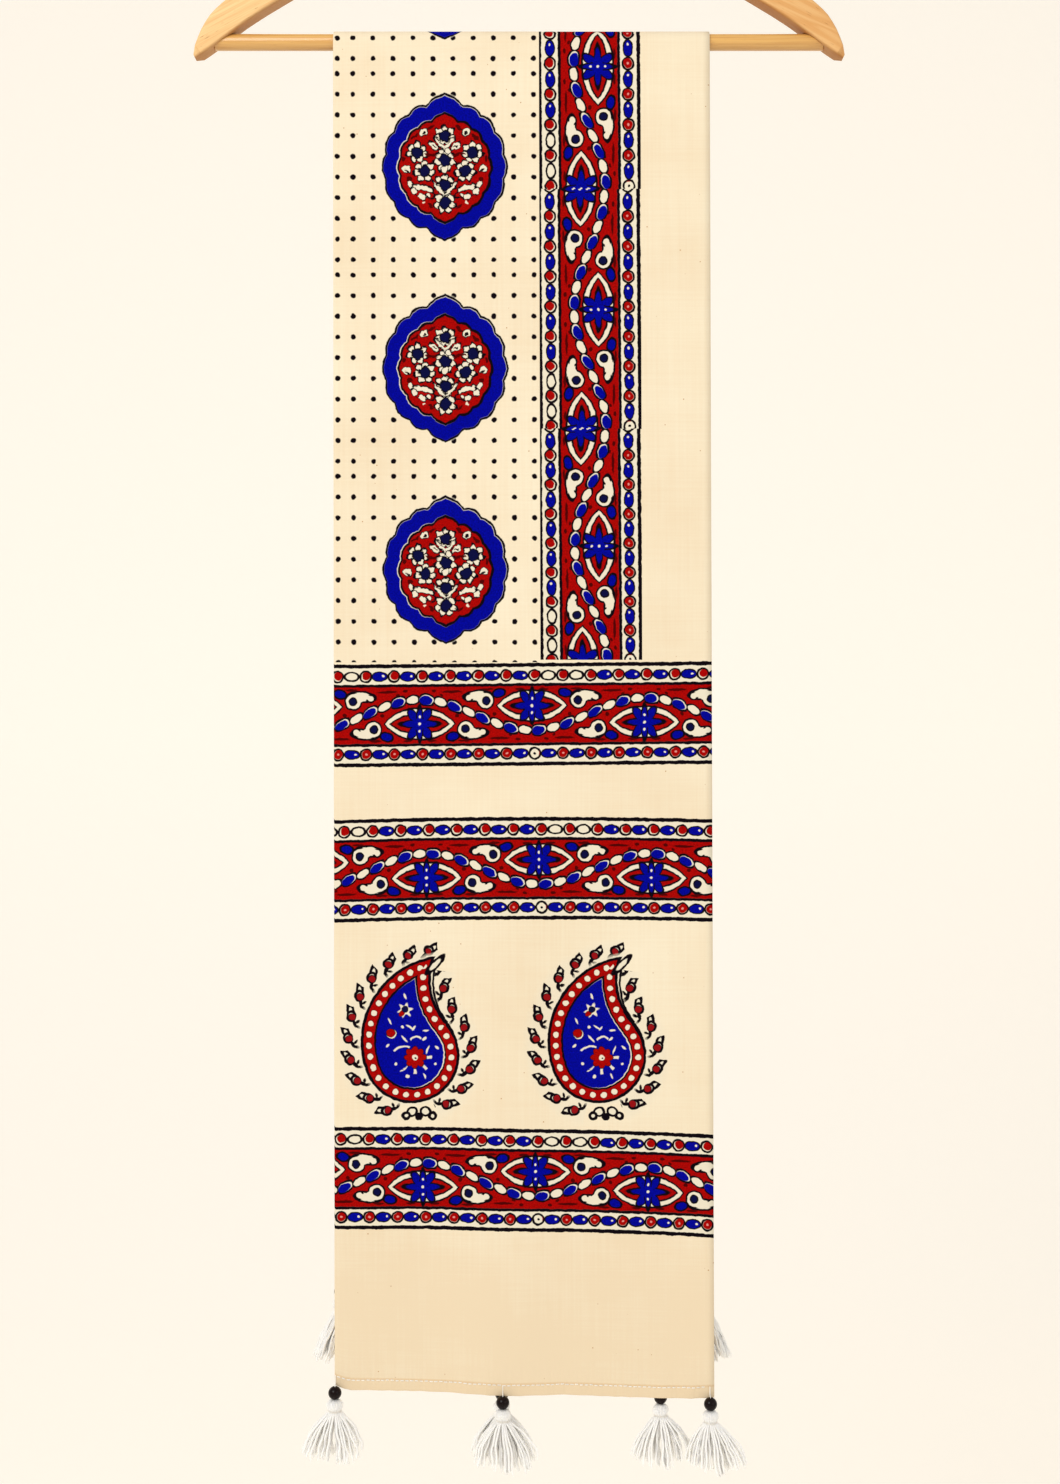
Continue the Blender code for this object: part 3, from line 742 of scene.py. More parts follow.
# Small flowers of the medallion's right half, which its left half mirrors: millimetres out and up
MEDALLION_FLOWERS = [
    {"out": 0.0, "up": 20.8},
    {"out": 0.0, "up": 4.3},
    {"out": 0.0, "up": -12.4},
    {"out": 0.0, "up": -24.7},
    {"out": 18.8, "up": 9.8},
    {"out": 13.9, "up": -2.7},
]
# Its leaves, stems and boat shapes. A form with a line has a black outline that many millimetres wide
MEDALLION_LEAVES = [
    {"out": 3.0, "up": 15.6, "half": (4.8, 0.8), "turn": 52, "ink": "pale", "line": 0.5},
    {"out": 7.6, "up": 14.4, "half": (3.3, 1.6), "turn": 38, "ink": "pale", "line": 0.6},
    {"out": 7.2, "up": 14.2, "half": (1.5, 0.5), "turn": 30, "ink": "black", "line": 0.0},
    {"out": 14.4, "up": 23.4, "half": (2.6, 2.4), "turn": 0, "ink": "pale", "line": 0.6},
    {"out": 14.0, "up": 22.6, "half": (1.2, 1.2), "turn": 0, "ink": "black", "line": 0.0},
    {"out": 2.1, "up": 10.6, "half": (1.7, 1.5), "turn": 0, "ink": "pale", "line": 0.6},
    {"out": 3.8, "up": -15.4, "half": (5.6, 0.9), "turn": 49, "ink": "pale", "line": 0.5},
    {"out": 26.0, "up": -1.4, "half": (2.6, 2.2), "turn": 20, "ink": "pale", "line": 0.6},
    {"out": 25.2, "up": -3.0, "half": (1.9, 0.5), "turn": 40, "ink": "black", "line": 0.0},
    {"out": 15.0, "up": -15.4, "half": (6.4, 3.0), "turn": 14, "ink": "pale", "line": 0.7},
    {"out": 14.2, "up": -18.6, "half": (6.6, 2.3), "turn": 10, "ink": "red", "line": 0.6},
    {"out": 23.4, "up": -12.2, "half": (2.5, 1.3), "turn": 58, "ink": "pale", "line": 0.6},
    {"out": 21.2, "up": -16.4, "half": (2.2, 1.5), "turn": 70, "ink": "pale", "line": 0.6},
    {"out": 15.3, "up": -20.6, "half": (2.3, 1.9), "turn": 60, "ink": "pale", "line": 0.6},
    {"out": 11.6, "up": -19.4, "half": (1.3, 1.1), "turn": 0, "ink": "pale", "line": 0.6},
    {"out": 14.6, "up": -24.9, "half": (0.9, 0.7), "turn": 0, "ink": "pale", "line": 0.0},
    {"out": 0.0, "up": -1.6, "half": (2.1, 2.0), "turn": 0, "ink": "pale", "line": 0.6},
    {"out": 20.5, "up": 20.5, "half": (3.2, 1.0), "turn": -40, "ink": "stain", "line": 0.0},
    {"out": 9.6, "up": 26.6, "half": (3.0, 1.2), "turn": -30, "ink": "stain", "line": 0.0},
    {"out": 9.4, "up": 8.4, "half": (4.4, 1.1), "turn": 8, "ink": "stain", "line": 0.0},
    {"out": 28.0, "up": 5.2, "half": (1.3, 2.0), "turn": 0, "ink": "stain", "line": 0.0},
    {"out": 24.4, "up": -8.6, "half": (1.7, 2.2), "turn": 30, "ink": "stain", "line": 0.0},
    {"out": 9.6, "up": -26.6, "half": (2.6, 0.9), "turn": 40, "ink": "stain", "line": 0.0},
]


def rosette(place, middles):
    """Polar place about the nearest of several flower middles: distance, and angle."""
    nearest, far = None, None
    for middle in middles:
        from_middle = add(place.tree, "ShaderNodeVectorMath", (place, (*middle, 0)), operation="SUBTRACT")
        distance = add(place.tree, "ShaderNodeVectorMath", (from_middle,), output=1, operation="LENGTH")
        if nearest is None:
            nearest, far = from_middle, distance
        else:
            closer = (far - distance).above(0.0)
            nearest = mixed(closer, nearest, from_middle)
            far = far.least(distance)
    x, y = split(nearest)
    return far, x.angle_over(y)


def press_rosettes(cloth, place, middles, inks, petals=7):
    """Small flowers: pale petals with dark gaps, round a core that is nearly black."""
    far, angle = rosette(place, middles)
    lobe = abs((angle * (petals / 2)).cos())
    edge = lobe * 1.9 + 5.0
    q = far / edge
    cloth = press(cloth, q.inside(1.2, 0.08), inks["black"])
    cloth = press(cloth, q.inside(0.98, 0.08) * lobe.outside(0.38, 0.15), inks["pale"])
    cloth = press(cloth, far.inside(4.2, 0.5), inks["black"])
    return press(cloth, far.inside(3.2, 0.6), inks["night"])


def press_forms(cloth, place, forms, inks):
    """Each form of a table in turn."""
    for form in forms:
        cloth = press_oval(cloth, place, (form["out"], form["up"]), form, inks)
    return cloth


def press_medallion(cloth, across, up, inks):
    """A pointed, scalloped ring of blue round a red ground full of small flowers."""
    aside = abs(across)
    nx, ny = across / MEDALLION_HALF[0], up / MEDALLION_HALF[1]
    far = (nx * nx + ny * ny) ** 0.5
    sideways = abs(nx) / (far + 0.0001)
    tip = (1 - sideways / 0.30).most(0.0)
    scallop = abs((nx.angle_over(ny) * 9.0).sin()) * 0.042 * (1 - tip)
    edge = sideways * sideways * 0.114 + 0.866 + scallop + tip * 0.134
    q = far / edge
    cloth = press(cloth, q.inside(1.04, 0.03), inks["pale"])
    cloth = press(cloth, q.inside(1.036, 0.010), inks["black"])
    cloth = press(cloth, q.inside(1.000, 0.010), inks["pale"])
    cloth = press(cloth, (q + nx * 0.004 + ny * 0.006).inside(1.000, 0.010), inks["blue"])
    inner = q + ny * 0.022
    cloth = press(cloth, (inner + nx * 0.014).inside(0.783, 0.010), inks["pale"])
    cloth = press(cloth, (inner - nx * 0.008).inside(0.786, 0.010), inks["black"])
    cloth = press(cloth, inner.inside(0.744, 0.012), inks["red"])
    tree = cloth.tree
    noise = {"Vector": joined(across, up), "Scale": 0.28, "Detail": 2.0}
    shaken = add(tree, "ShaderNodeTexNoise", noise, output=1)
    shaken = add(tree, "ShaderNodeVectorMath", (shaken, (0.5, 0.5, 0.5)), operation="SUBTRACT")
    waver = (shaken, (FLOWER_WAVER, FLOWER_WAVER, 0), joined(aside, up))
    place = add(tree, "ShaderNodeVectorMath", waver, operation="MULTIPLY_ADD")
    middles = [(flower["out"], flower["up"]) for flower in MEDALLION_FLOWERS]
    cloth = press_rosettes(cloth, place, middles, inks)
    return press_forms(cloth, place, MEDALLION_LEAVES, inks)


def press_field(cloth, place, wavering, inks):
    """The field, one block after another: its dots and its medallion."""
    u, v = split(wavering)
    across = (((u - MEDALLION_MIDDLE[0]) / FIELD_BLOCK["wide"] + 0.5).fract() - 0.5) * FIELD_BLOCK["wide"]
    up = (((v - MEDALLION_MIDDLE[1]) / FIELD_BLOCK["tall"] + 0.5).fract() - 0.5) * FIELD_BLOCK["tall"]
    dot = joined(
        ((across + 1.0) / DOT_STEP["wide"]).fract() * DOT_STEP["wide"],
        ((up / DOT_STEP["tall"]).fract()) * DOT_STEP["tall"],
    )
    dot_middle = (DOT_STEP["wide"] / 2, DOT_STEP["tall"] / 2)
    clear = (across / MEDALLION_HALF[0]) ** 2.0 + (up / MEDALLION_HALF[1]) ** 2.0
    dots = oval(dot, dot_middle, (DOT_RADIUS, DOT_RADIUS)).inside(1.0, 0.3) * clear.above(0.93)
    cloth = press(cloth, dots, inks["black"])
    return press_medallion(cloth, across, up, inks)


# %% [markdown]
# ### Paisleys
#
# A paisley's edge is made of three circles: the round part, and one large circle for each long side. The
# distance from that edge draws the outlines, the pearls inside it and the buds outside it.

# %% The row of paisleys
PAISLEY_STEP = 126.5
PAISLEY_DISC = (45.4, 230.9)  # the middle of one paisley's round part, on the flat cloth
DISC_RADIUS = 31.5
# Two large circles make the paisley's two long sides; its round part lies below two rays from its middle
LEFT_SIDE = {"middle": (24.4, 9.2), "radius": 57.6}
RIGHT_SIDE = {"middle": (57.3, 51.5), "radius": 45.1}
BORDER_WIDE, PEARL_STEP = 8.7, 7.5
BUD_STEP, BUD_OFF = 15.0, 8.8
BUD_BEND = {"from": 130.0, "slope": 0.11}  # over the tip the row draws nearer to the edge
# How far round the edge each side begins, for the pearls inside it and for the buds outside it
PEARL_ROW = {"disc": (27.2, 0.0), "left": (53.3, 51.3), "right": (49.4, -99.7)}
BUD_ROW = {"disc": (41.5, 0.0), "left": (67.6, 74.6), "right": (35.1, -121.3)}

# One bud beside the paisley: millimetres towards its tip and away from it
BUD_FORMS = [
    {"out": -3.4, "up": -2.2, "half": (3.5, 1.25), "turn": 28, "ink": "black", "line": 0.0},
    {"out": -5.7, "up": -5.0, "half": (2.2, 1.1), "turn": 70, "ink": "black", "line": 0.0},
    {"out": -1.8, "up": -4.4, "half": (1.9, 1.0), "turn": -35, "ink": "black", "line": 0.0},
    {"out": 4.0, "up": 2.2, "half": (2.8, 1.1), "turn": 32, "ink": "pale", "line": 1.7},
    {"out": 0.9, "up": 0.9, "half": (2.2, 1.9), "turn": 20, "ink": "pale", "line": 1.7},
    {"out": 0.4, "up": 0.1, "half": (2.1, 2.3), "turn": 0, "ink": "bud", "line": 0.5},
]

# What floats on the paisley's blue, in millimetres right of and up from the disc's middle
PAISLEY_CORE = [
    {"out": -4.3, "up": 40.2, "half": (0.8, 2.0), "turn": 20, "ink": "pale", "line": 0.0},
    {"out": -4.3, "up": 30.6, "half": (5.2, 1.2), "turn": 12, "ink": "pale", "line": 0.0},
    {"out": -4.3, "up": 30.6, "half": (5.2, 1.2), "turn": 72, "ink": "pale", "line": 0.0},
    {"out": -4.3, "up": 30.6, "half": (5.2, 1.2), "turn": 132, "ink": "pale", "line": 0.0},
    {"out": -4.3, "up": 30.6, "half": (3.0, 3.0), "turn": 0, "ink": "pale", "line": 0.0},
    {"out": -6.6, "up": 28.4, "half": (2.2, 1.6), "turn": 40, "ink": "red", "line": 0.3},
    {"out": -4.2, "up": 31.2, "half": (1.9, 1.9), "turn": 0, "ink": "night", "line": 0.4},
    {"out": -14.6, "up": 23.2, "half": (0.6, 2.2), "turn": 25, "ink": "pale", "line": 0.0},
    {"out": -13.4, "up": 14.6, "half": (3.4, 3.2), "turn": 0, "ink": "pale", "line": 0.3},
    {"out": -13.9, "up": 15.2, "half": (2.9, 2.7), "turn": 0, "ink": "red", "line": 0.4},
    {"out": -6.0, "up": 19.2, "half": (1.1, 1.0), "turn": 0, "ink": "pale", "line": 0.0},
    {"out": -0.8, "up": 19.0, "half": (2.8, 0.6), "turn": -35, "ink": "pale", "line": 0.0},
    {"out": 1.6, "up": 18.4, "half": (1.8, 0.6), "turn": 55, "ink": "pale", "line": 0.0},
    {"out": 9.8, "up": 16.9, "half": (1.9, 0.6), "turn": 5, "ink": "pale", "line": 0.0},
    {"out": 8.6, "up": 11.2, "half": (1.6, 0.8), "turn": 35, "ink": "pale", "line": 0.0},
    {"out": -4.7, "up": 11.2, "half": (3.0, 0.7), "turn": -50, "ink": "pale", "line": 0.0},
    {"out": -16.0, "up": 6.5, "half": (1.5, 0.8), "turn": 40, "ink": "pale", "line": 0.0},
    {"out": 17.3, "up": 5.3, "half": (1.6, 0.7), "turn": -35, "ink": "pale", "line": 0.0},
    {"out": 10.9, "up": 3.6, "half": (0.6, 2.8), "turn": -20, "ink": "pale", "line": 0.0},
    {"out": -10.6, "up": -5.7, "half": (1.0, 1.0), "turn": 0, "ink": "pale", "line": 0.0},
    {"out": 16.2, "up": -5.8, "half": (0.9, 0.8), "turn": 0, "ink": "pale", "line": 0.0},
    {"out": -2.6, "up": -14.4, "half": (1.2, 1.2), "turn": 0, "ink": "pale", "line": 0.0},
    {"out": 9.0, "up": -14.2, "half": (0.6, 1.9), "turn": 25, "ink": "pale", "line": 0.0},
    {"out": -6.4, "up": -10.6, "half": (1.3, 0.4), "turn": 20, "ink": "pale", "line": 0.0},
]
# The pale hooked end of its tip
PAISLEY_TIP = [{"out": 16.2, "up": 61.6, "half": (5.2, 1.5), "turn": 46, "ink": "pale", "line": 1.4}]
# The small motif under the paisley, where the two rows of buds meet
PAISLEY_FOOT = [
    {"out": 0.4, "up": -38.4, "half": (2.4, 2.0), "turn": 20, "ink": "pale", "line": 1.5},
    {"out": 9.4, "up": -38.2, "half": (2.4, 2.0), "turn": -20, "ink": "pale", "line": 1.5},
    {"out": -3.6, "up": -41.2, "half": (1.2, 1.1), "turn": 0, "ink": "pale", "line": 1.9},
    {"out": 14.2, "up": -41.2, "half": (1.2, 1.1), "turn": 0, "ink": "pale", "line": 1.9},
    {"out": 5.0, "up": -41.6, "half": (2.8, 2.6), "turn": 0, "ink": "black", "line": 0.0},
]
# Thin rings of which only a part shows: middle, radius, the side that is kept
PAISLEY_ARCS = [
    {"out": -4.9, "up": -3.4, "radius": 9.4, "from": (-7.6, 8.4), "reach": 7.0},
    {"out": 3.4, "up": 8.2, "radius": 4.6, "from": (2.9, 13.2), "reach": 4.4},
]
RED_STAR = {"out": 2.4, "up": -1.5, "points": 8}


def seen_from(place, middle):
    """The place as a vector from a middle, and how far it is."""
    vector = add(place.tree, "ShaderNodeVectorMath", (place, (*middle, 0)), operation="SUBTRACT")
    return vector, add(place.tree, "ShaderNodeVectorMath", (vector,), output=1, operation="LENGTH")


def paisley_shape(place):
    """How far a place lies outside the paisley's edge, and how far round it, for pearls and for buds."""
    x, y = split(place)
    disc_turn = (0 - x).angle_over(0 - y)
    disc_off = seen_from(place, (0, 0))[1] - DISC_RADIUS
    vector, far = seen_from(place, LEFT_SIDE["middle"])
    lx, ly = split(vector)
    left_turn, left_off = ly.angle_over(0 - lx), far - LEFT_SIDE["radius"]
    vector, far = seen_from(place, RIGHT_SIDE["middle"])
    rx, ry = split(vector)
    right_turn, right_off = (0 - ry).angle_over(0 - rx), RIGHT_SIDE["radius"] - far
    low = (x.most(0.0) * 0.52 + x * 0.378 - y).above(0.0)
    left = (left_off - right_off).above(0.0)

    def chosen(on_disc, on_left, on_right):
        high = on_right + left * (on_left - on_right)
        return high + low * (on_disc - high)

    def round_edge(row):
        return chosen(*[
            turn * row[side][0] + row[side][1]
            for side, turn in (("disc", disc_turn), ("left", left_turn), ("right", right_turn))
        ])

    return chosen(disc_off, left_off, right_off), round_edge(PEARL_ROW), round_edge(BUD_ROW)


def press_buds(cloth, off, bud_round, inks):
    """The row of small buds that grows round the paisley, each leaning towards its tip."""
    right = bud_round.below(-18.0)
    step = (bud_round - 1.5 + right * 11.5) / BUD_STEP + 0.5
    towards = (step.fract() - 0.5) * BUD_STEP * (1 - right * 2.0)
    nearer = (bud_round - BUD_BEND["from"]).most(0.0) * BUD_BEND["slope"]
    beside = off - BUD_OFF + nearer
    place = joined(towards, beside)
    there = bud_round.above(-127.0) * bud_round.below(174.0) * off.above(1.5)
    there = there * off.below(18.5) * abs(bud_round + 4.25).above(13.25)
    buds = press(cloth, abs(beside + 0.6).inside(7.0, 6.0) * 0.6, inks["pale"])
    buds = press_forms(buds, place, BUD_FORMS, inks)
    return press(cloth, there, buds)


def press_star(cloth, place, inks):
    """The red flower with its pale eye, and the pale sparks at one side of it."""
    vector, far = seen_from(place, (RED_STAR["out"], RED_STAR["up"]))
    x, y = split(vector)
    point = abs((x.angle_over(y) * (RED_STAR["points"] / 2)).cos())
    sparks = far.inside(11.4, 0.4) * point.outside(0.93, 0.06) * (x * 0.8 - y).outside(1.5, 1.0)
    cloth = press(cloth, sparks * far.outside(7.6, 0.4), inks["pale"])
    cloth = press(cloth, (far - point * 2.0).inside(6.0, 0.4), inks["black"])
    cloth = press(cloth, (far - point * 2.0).inside(5.4, 0.4), inks["red"])
    cloth = press(cloth, far.inside(1.9, 0.4), inks["pale"])
    pupil = seen_from(place, (RED_STAR["out"] + 0.5, RED_STAR["up"] - 0.4))[1]
    return press(cloth, pupil.inside(0.6, 0.3), inks["black"])


def press_paisleys(cloth, wavering, inks):
    """The row of paisleys, every one from the same block."""
    u, v = split(wavering)
    # The block reaches further to the left of the disc's middle than to its right
    block_at = (u - PAISLEY_DISC[0]) / PAISLEY_STEP + 0.47
    across = (block_at.fract() - 0.47) * PAISLEY_STEP
    place = joined(across, v - PAISLEY_DISC[1])
    off, pearl_round, bud_round = paisley_shape(place)
    cloth = press_buds(cloth, off, bud_round, inks)
    cloth = press(cloth, off.inside(2.4, 3.0), inks["pale"])
    up = v - PAISLEY_DISC[1]
    upper_right = across.above(6.0) * abs(up - 36.0).below(26.0)
    second_line = abs(off - up * 0.052).inside(0.75, EDGE_SOFT) * upper_right
    cloth = press(cloth, second_line, inks["black"])
    cloth = press(cloth, off.inside(1.15, EDGE_SOFT), inks["black"])
    cloth = press(cloth, off.inside(-0.9, EDGE_SOFT), inks["red"])
    pearl = joined(((pearl_round / PEARL_STEP).fract() - 0.5) * PEARL_STEP, off + BORDER_WIDE / 2)
    q = oval(pearl, (0, 0), (1.95, 1.95))
    cloth = press(cloth, q.inside(1.28, 0.3), inks["red_deep"])
    cloth = press(cloth, q.inside(1.0, 0.14), inks["pale"])
    cloth = press(cloth, off.inside(-BORDER_WIDE + 0.7, EDGE_SOFT), inks["black"])
    cloth = press(cloth, (off - across * 0.022).inside(-BORDER_WIDE - 0.75, EDGE_SOFT), inks["pale"])
    cloth = press(cloth, (off + across * 0.008).inside(-BORDER_WIDE - 0.85, EDGE_SOFT), inks["blue"])
    inner = off.below(-BORDER_WIDE - 0.8)
    core = press(cloth, place_arc(place, PAISLEY_ARCS[0]), inks["pale"])
    core = press(core, place_arc(place, PAISLEY_ARCS[1]), inks["pale"])
    core = press_forms(core, place, PAISLEY_CORE, inks)
    core = press_star(core, place, inks)
    cloth = press(cloth, inner, core)
    return press_forms(cloth, place, PAISLEY_TIP + PAISLEY_FOOT, inks)


def place_arc(place, arc):
    """Where a thin ring shows, near one point of it."""
    ring = abs(seen_from(place, (arc["out"], arc["up"]))[1] - arc["radius"]).inside(0.6, 0.4)
    return ring * seen_from(place, arc["from"])[1].inside(arc["reach"], 0.5)


# %% [markdown]
# ### Materials of the cotton
#
# Every area has the same bare cotton underneath, and its own blocks are pressed on it. The bands lie a
# little aslant, as they were pressed by hand, and the cotton's surface is matt with a fine plain weave.

# %% The cotton's materials, one for each printed area
BAND_PLACES = [  # the joint between blocks, the band's middle, and how that drifts and sags
    {"joint": 129.2, "middle": 146.20, "slope": -0.0214, "sag": -0.000093},
    {"joint": 132.1, "middle": 358.20, "slope": 0.0005, "sag": -0.000115},
    {"joint": 127.7, "middle": 462.85, "slope": 0.0090, "sag": 0.0},
]
DRIFT_REACH = 135.0  # a band runs straight beyond this far to the left of its joint
# The side border's blocks grow shorter on their way down, and each is pressed a little askew
SIDE_BORDER = {"joint": 820.6, "middle": 167.5, "stretch": 0.920, "shorter": -0.00008, "tilt": 1.0}


def cotton_finish(cloth, place):
    """The cloth's surface: matt, with the fine ridges of a plain weave."""
    tree = cloth.tree
    u, v = split(place)
    weave = (u * (2 * math.pi / 0.62)).sin() * (v * (2 * math.pi / 0.62)).sin()
    slubs = add(tree, "ShaderNodeMapping", {"Vector": place, "Scale": (0.9, 0.05, 1)})
    slubs = add(tree, "ShaderNodeTexNoise", {"Vector": slubs, "Scale": 1.0, "Detail": 2.0})
    puckers = add(tree, "ShaderNodeMapping", {"Vector": place, "Scale": (0.42, 0.07, 1)})
    puckers = add(tree, "ShaderNodeTexNoise", {"Vector": puckers, "Scale": 1.0, "Detail": 1.0})
    near_hem = v.inside(17.0, 13.0)
    bump = {"Strength": 0.5, "Distance": 0.05 * MM, "Height": weave * 0.5 + slubs + puckers * near_hem * 16.0}
    normal = add(tree, "ShaderNodeBump", bump)
    finish_material(add(tree, "ShaderNodeBsdfPrincipled", {
        "Base Color": cloth,
        "Roughness": 0.92,
        "Normal": normal,
        "Specular IOR Level": 0.04,
    }))


def cotton_material(name, printed):
    """A material for one area: the bare cotton, then what its blocks press on it."""
    material, tree = new_material(name)
    place, wavering = flat_cloth(tree)
    cloth = cream_cloth(tree, place)
    if printed:
        cloth = printed(cloth, place, wavering, ink_colours(tree, place))
    cotton_finish(cloth, place)
    return material


def print_border(cloth, place, wavering, inks):
    """The side border: a band that runs along the cloth, on each side of the field."""
    u, v = split(wavering)
    above = v - SIDE_BORDER["joint"]
    along = above * SIDE_BORDER["stretch"] + above * above * SIDE_BORDER["shorter"]
    tilt = ((along / BLOCK).fract() - 0.5) * SIDE_BORDER["tilt"]
    # The cloth has a border on each side of its field, both the same way round
    field_middle = FIELD_MIDDLE / MM
    off = abs(u - field_middle) + field_middle - SIDE_BORDER["middle"] + tilt
    return press_band(cloth, along, off, inks)


def band_printer(band):
    """Gives the function that prints one band across the cloth, at its own place."""

    def print_band(cloth, place, wavering, inks):
        u, v = split(wavering)
        from_joint = u - band["joint"]
        drift = from_joint.most(-DRIFT_REACH)
        middle = drift * band["slope"] + drift * drift * band["sag"] + band["middle"]
        return press_band(cloth, from_joint, middle - v, inks)

    return print_band


def print_paisleys(cloth, place, wavering, inks):
    """The paisleys' area, on the wavering place alone."""
    return press_paisleys(cloth, wavering, inks)


stole_materials = [
    cotton_material("plain-woven cotton, cream", None),
    cotton_material("block-printed cotton, dots and medallions", press_field),
    cotton_material("block-printed cotton, side border", print_border),
    cotton_material("block-printed cotton, lowest band", band_printer(BAND_PLACES[0])),
    cotton_material("block-printed cotton, middle band", band_printer(BAND_PLACES[1])),
    cotton_material("block-printed cotton, upper band", band_printer(BAND_PLACES[2])),
    cotton_material("block-printed cotton, paisleys", print_paisleys),
    cotton_material("cotton, wrong side", None),
]
print("cotton materials:", [len(m.node_tree.nodes) for m in stole_materials], "nodes")
# %% [markdown]
# ## Thread, yarn, beads, wood and steel
#
# These finishes are read straight from the place on the piece, in metres, since every piece stays where it
# was modelled. Cotton is matt and a little fuzzy. The beads are dark, polished wood, the arms bare beech with
# their grain along each arm, the bar a pale stick under honey varnish, and the hook bright plated wire.

# %% Materials of the small parts
YARN_WHITE, YARN_GREY = linear("fffffd"), linear("fdf8f0")
THREAD_PALE, THREAD_CREAM = linear("fffcf4"), linear("f8ecd8")
BEAD_DARK, BEAD_BROWN = linear("0b0304"), linear("1d0a08")
BEECH_PALE, BEECH_WARM, BEECH_BROWN = linear("f4cd92"), linear("d69a58"), linear("96591f")
DOWEL_PALE, DOWEL_HONEY, DOWEL_BROWN = linear("e8b666"), linear("c4863a"), linear("86531e")
STEEL_BRIGHT, STEEL_GREY = linear("d8d8da"), linear("b4b5b9")


def object_place(tree):
    """The place on the piece, in millimetres."""
    place = add(tree, "ShaderNodeTexCoord", output=3)
    return add(tree, "ShaderNodeVectorMath", (place, (1000, 1000, 1000)), operation="MULTIPLY")


def soft_cotton(name, light, shade, scale):
    """Spun cotton: fine fibres that catch light all round, a little greyer in places."""
    material, tree = new_material(name)
    place = object_place(tree)
    fibres = add(tree, "ShaderNodeMapping", {"Vector": place, "Scale": (scale, scale, scale * 0.25)})
    fibres = add(tree, "ShaderNodeTexNoise", {"Vector": fibres, "Scale": 1.0, "Detail": 3.0})
    normal = add(tree, "ShaderNodeBump", {"Strength": 0.5, "Distance": 0.15 * MM, "Height": fibres})
    finish_material(add(tree, "ShaderNodeBsdfPrincipled", {
        "Base Color": mixed(fibres.ramp(2.2, -0.75), flood(tree, light), shade),
        "Roughness": 0.9,
        "Specular IOR Level": 0.15,
        "Sheen Weight": 0.4,
        "Subsurface Weight": 0.5,
        "Subsurface Radius": (1.0, 1.0, 0.9),
        "Subsurface Scale": 2 * MM,
        "Sheen Roughness": 0.6,
        "Normal": normal,
    }))
    return material


def bead_material():
    """Dark hardwood, turned and polished: faint streaks across, under a clear shine."""
    material, tree = new_material("polished dark wood")
    place = object_place(tree)
    streaks = add(tree, "ShaderNodeMapping", {"Vector": place, "Scale": (0.5, 0.5, 2.6)})
    streaks = add(tree, "ShaderNodeTexNoise", {"Vector": streaks, "Scale": 1.0, "Detail": 3.0})
    finish_material(add(tree, "ShaderNodeBsdfPrincipled", {
        "Base Color": mixed(streaks.ramp(3.0, -1.2), flood(tree, BEAD_DARK), BEAD_BROWN),
        "Roughness": streaks * 0.15 + 0.1,
        "Specular IOR Level": 0.14,
    }))
    return material


def wood_grain(along, depth, across):
    """Shares of broad growth bands, fine lines and short flecks, with the grain running along."""
    tree = along.tree
    lie = add(tree, "ShaderNodeCombineXYZ", (along * 0.006, depth * 0.05, across * 0.07))
    bands = add(tree, "ShaderNodeTexNoise", {"Vector": lie, "Scale": 1.0, "Detail": 2.0, "Distortion": 0.6})
    bands = (bands * 34.0 + across * 0.12).sin() * 0.5 + 0.5
    fine = add(tree, "ShaderNodeCombineXYZ", (along * 0.02, depth * 1.1, across * 1.1))
    fine = add(tree, "ShaderNodeTexNoise", {"Vector": fine, "Scale": 1.0, "Detail": 4.0, "Roughness": 0.65})
    short = add(tree, "ShaderNodeCombineXYZ", (along * 0.16, depth * 1.1, across * 1.25))
    flecks = add(tree, "ShaderNodeTexNoise", {"Vector": short, "Scale": 1.0, "Detail": 1.0}).ramp(9.0, -6.2)
    return bands, fine, flecks


def arm_material():
    """Bare beech, sawn and sanded. The right arm is the redder board, and the underside has painted shade."""
    material, tree = new_material("sanded beech")
    x, y, z = split_all(object_place(tree))
    slope = math.radians(28)
    along = abs(x) * math.cos(slope) - z * math.sin(slope)
    across = abs(x) * math.sin(slope) + z * math.cos(slope) + x.above(0.0) * 83.0
    bands, fine, flecks = wood_grain(along, y, across)
    redder = x.ramp(0.01, 0.5) * 0.55
    wood = mixed(redder + bands * 0.3, flood(tree, BEECH_PALE), BEECH_WARM)
    wood = mixed(fine.ramp(3.2, -1.5) * 0.7, wood, BEECH_WARM)
    wood = mixed(flecks * 0.75, wood, BEECH_BROWN)
    # Painted shade: faces that look down are mixed towards brown
    painted_shade_normal = split_all(add(tree, "ShaderNodeNewGeometry", output=1))
    wood = mixed((0 - painted_shade_normal[2]).ramp(1.6, -0.4) * 0.75, wood, BEECH_BROWN)
    bump = {"Strength": 0.25, "Distance": 0.15 * MM, "Height": fine - flecks * 0.5}
    normal = add(tree, "ShaderNodeBump", bump)
    finish_material(add(tree, "ShaderNodeBsdfPrincipled", {
        "Base Color": wood,
        "Roughness": fine * 0.2 + 0.42,
        "Specular IOR Level": 0.3,
        "Normal": normal,
    }))
    return material


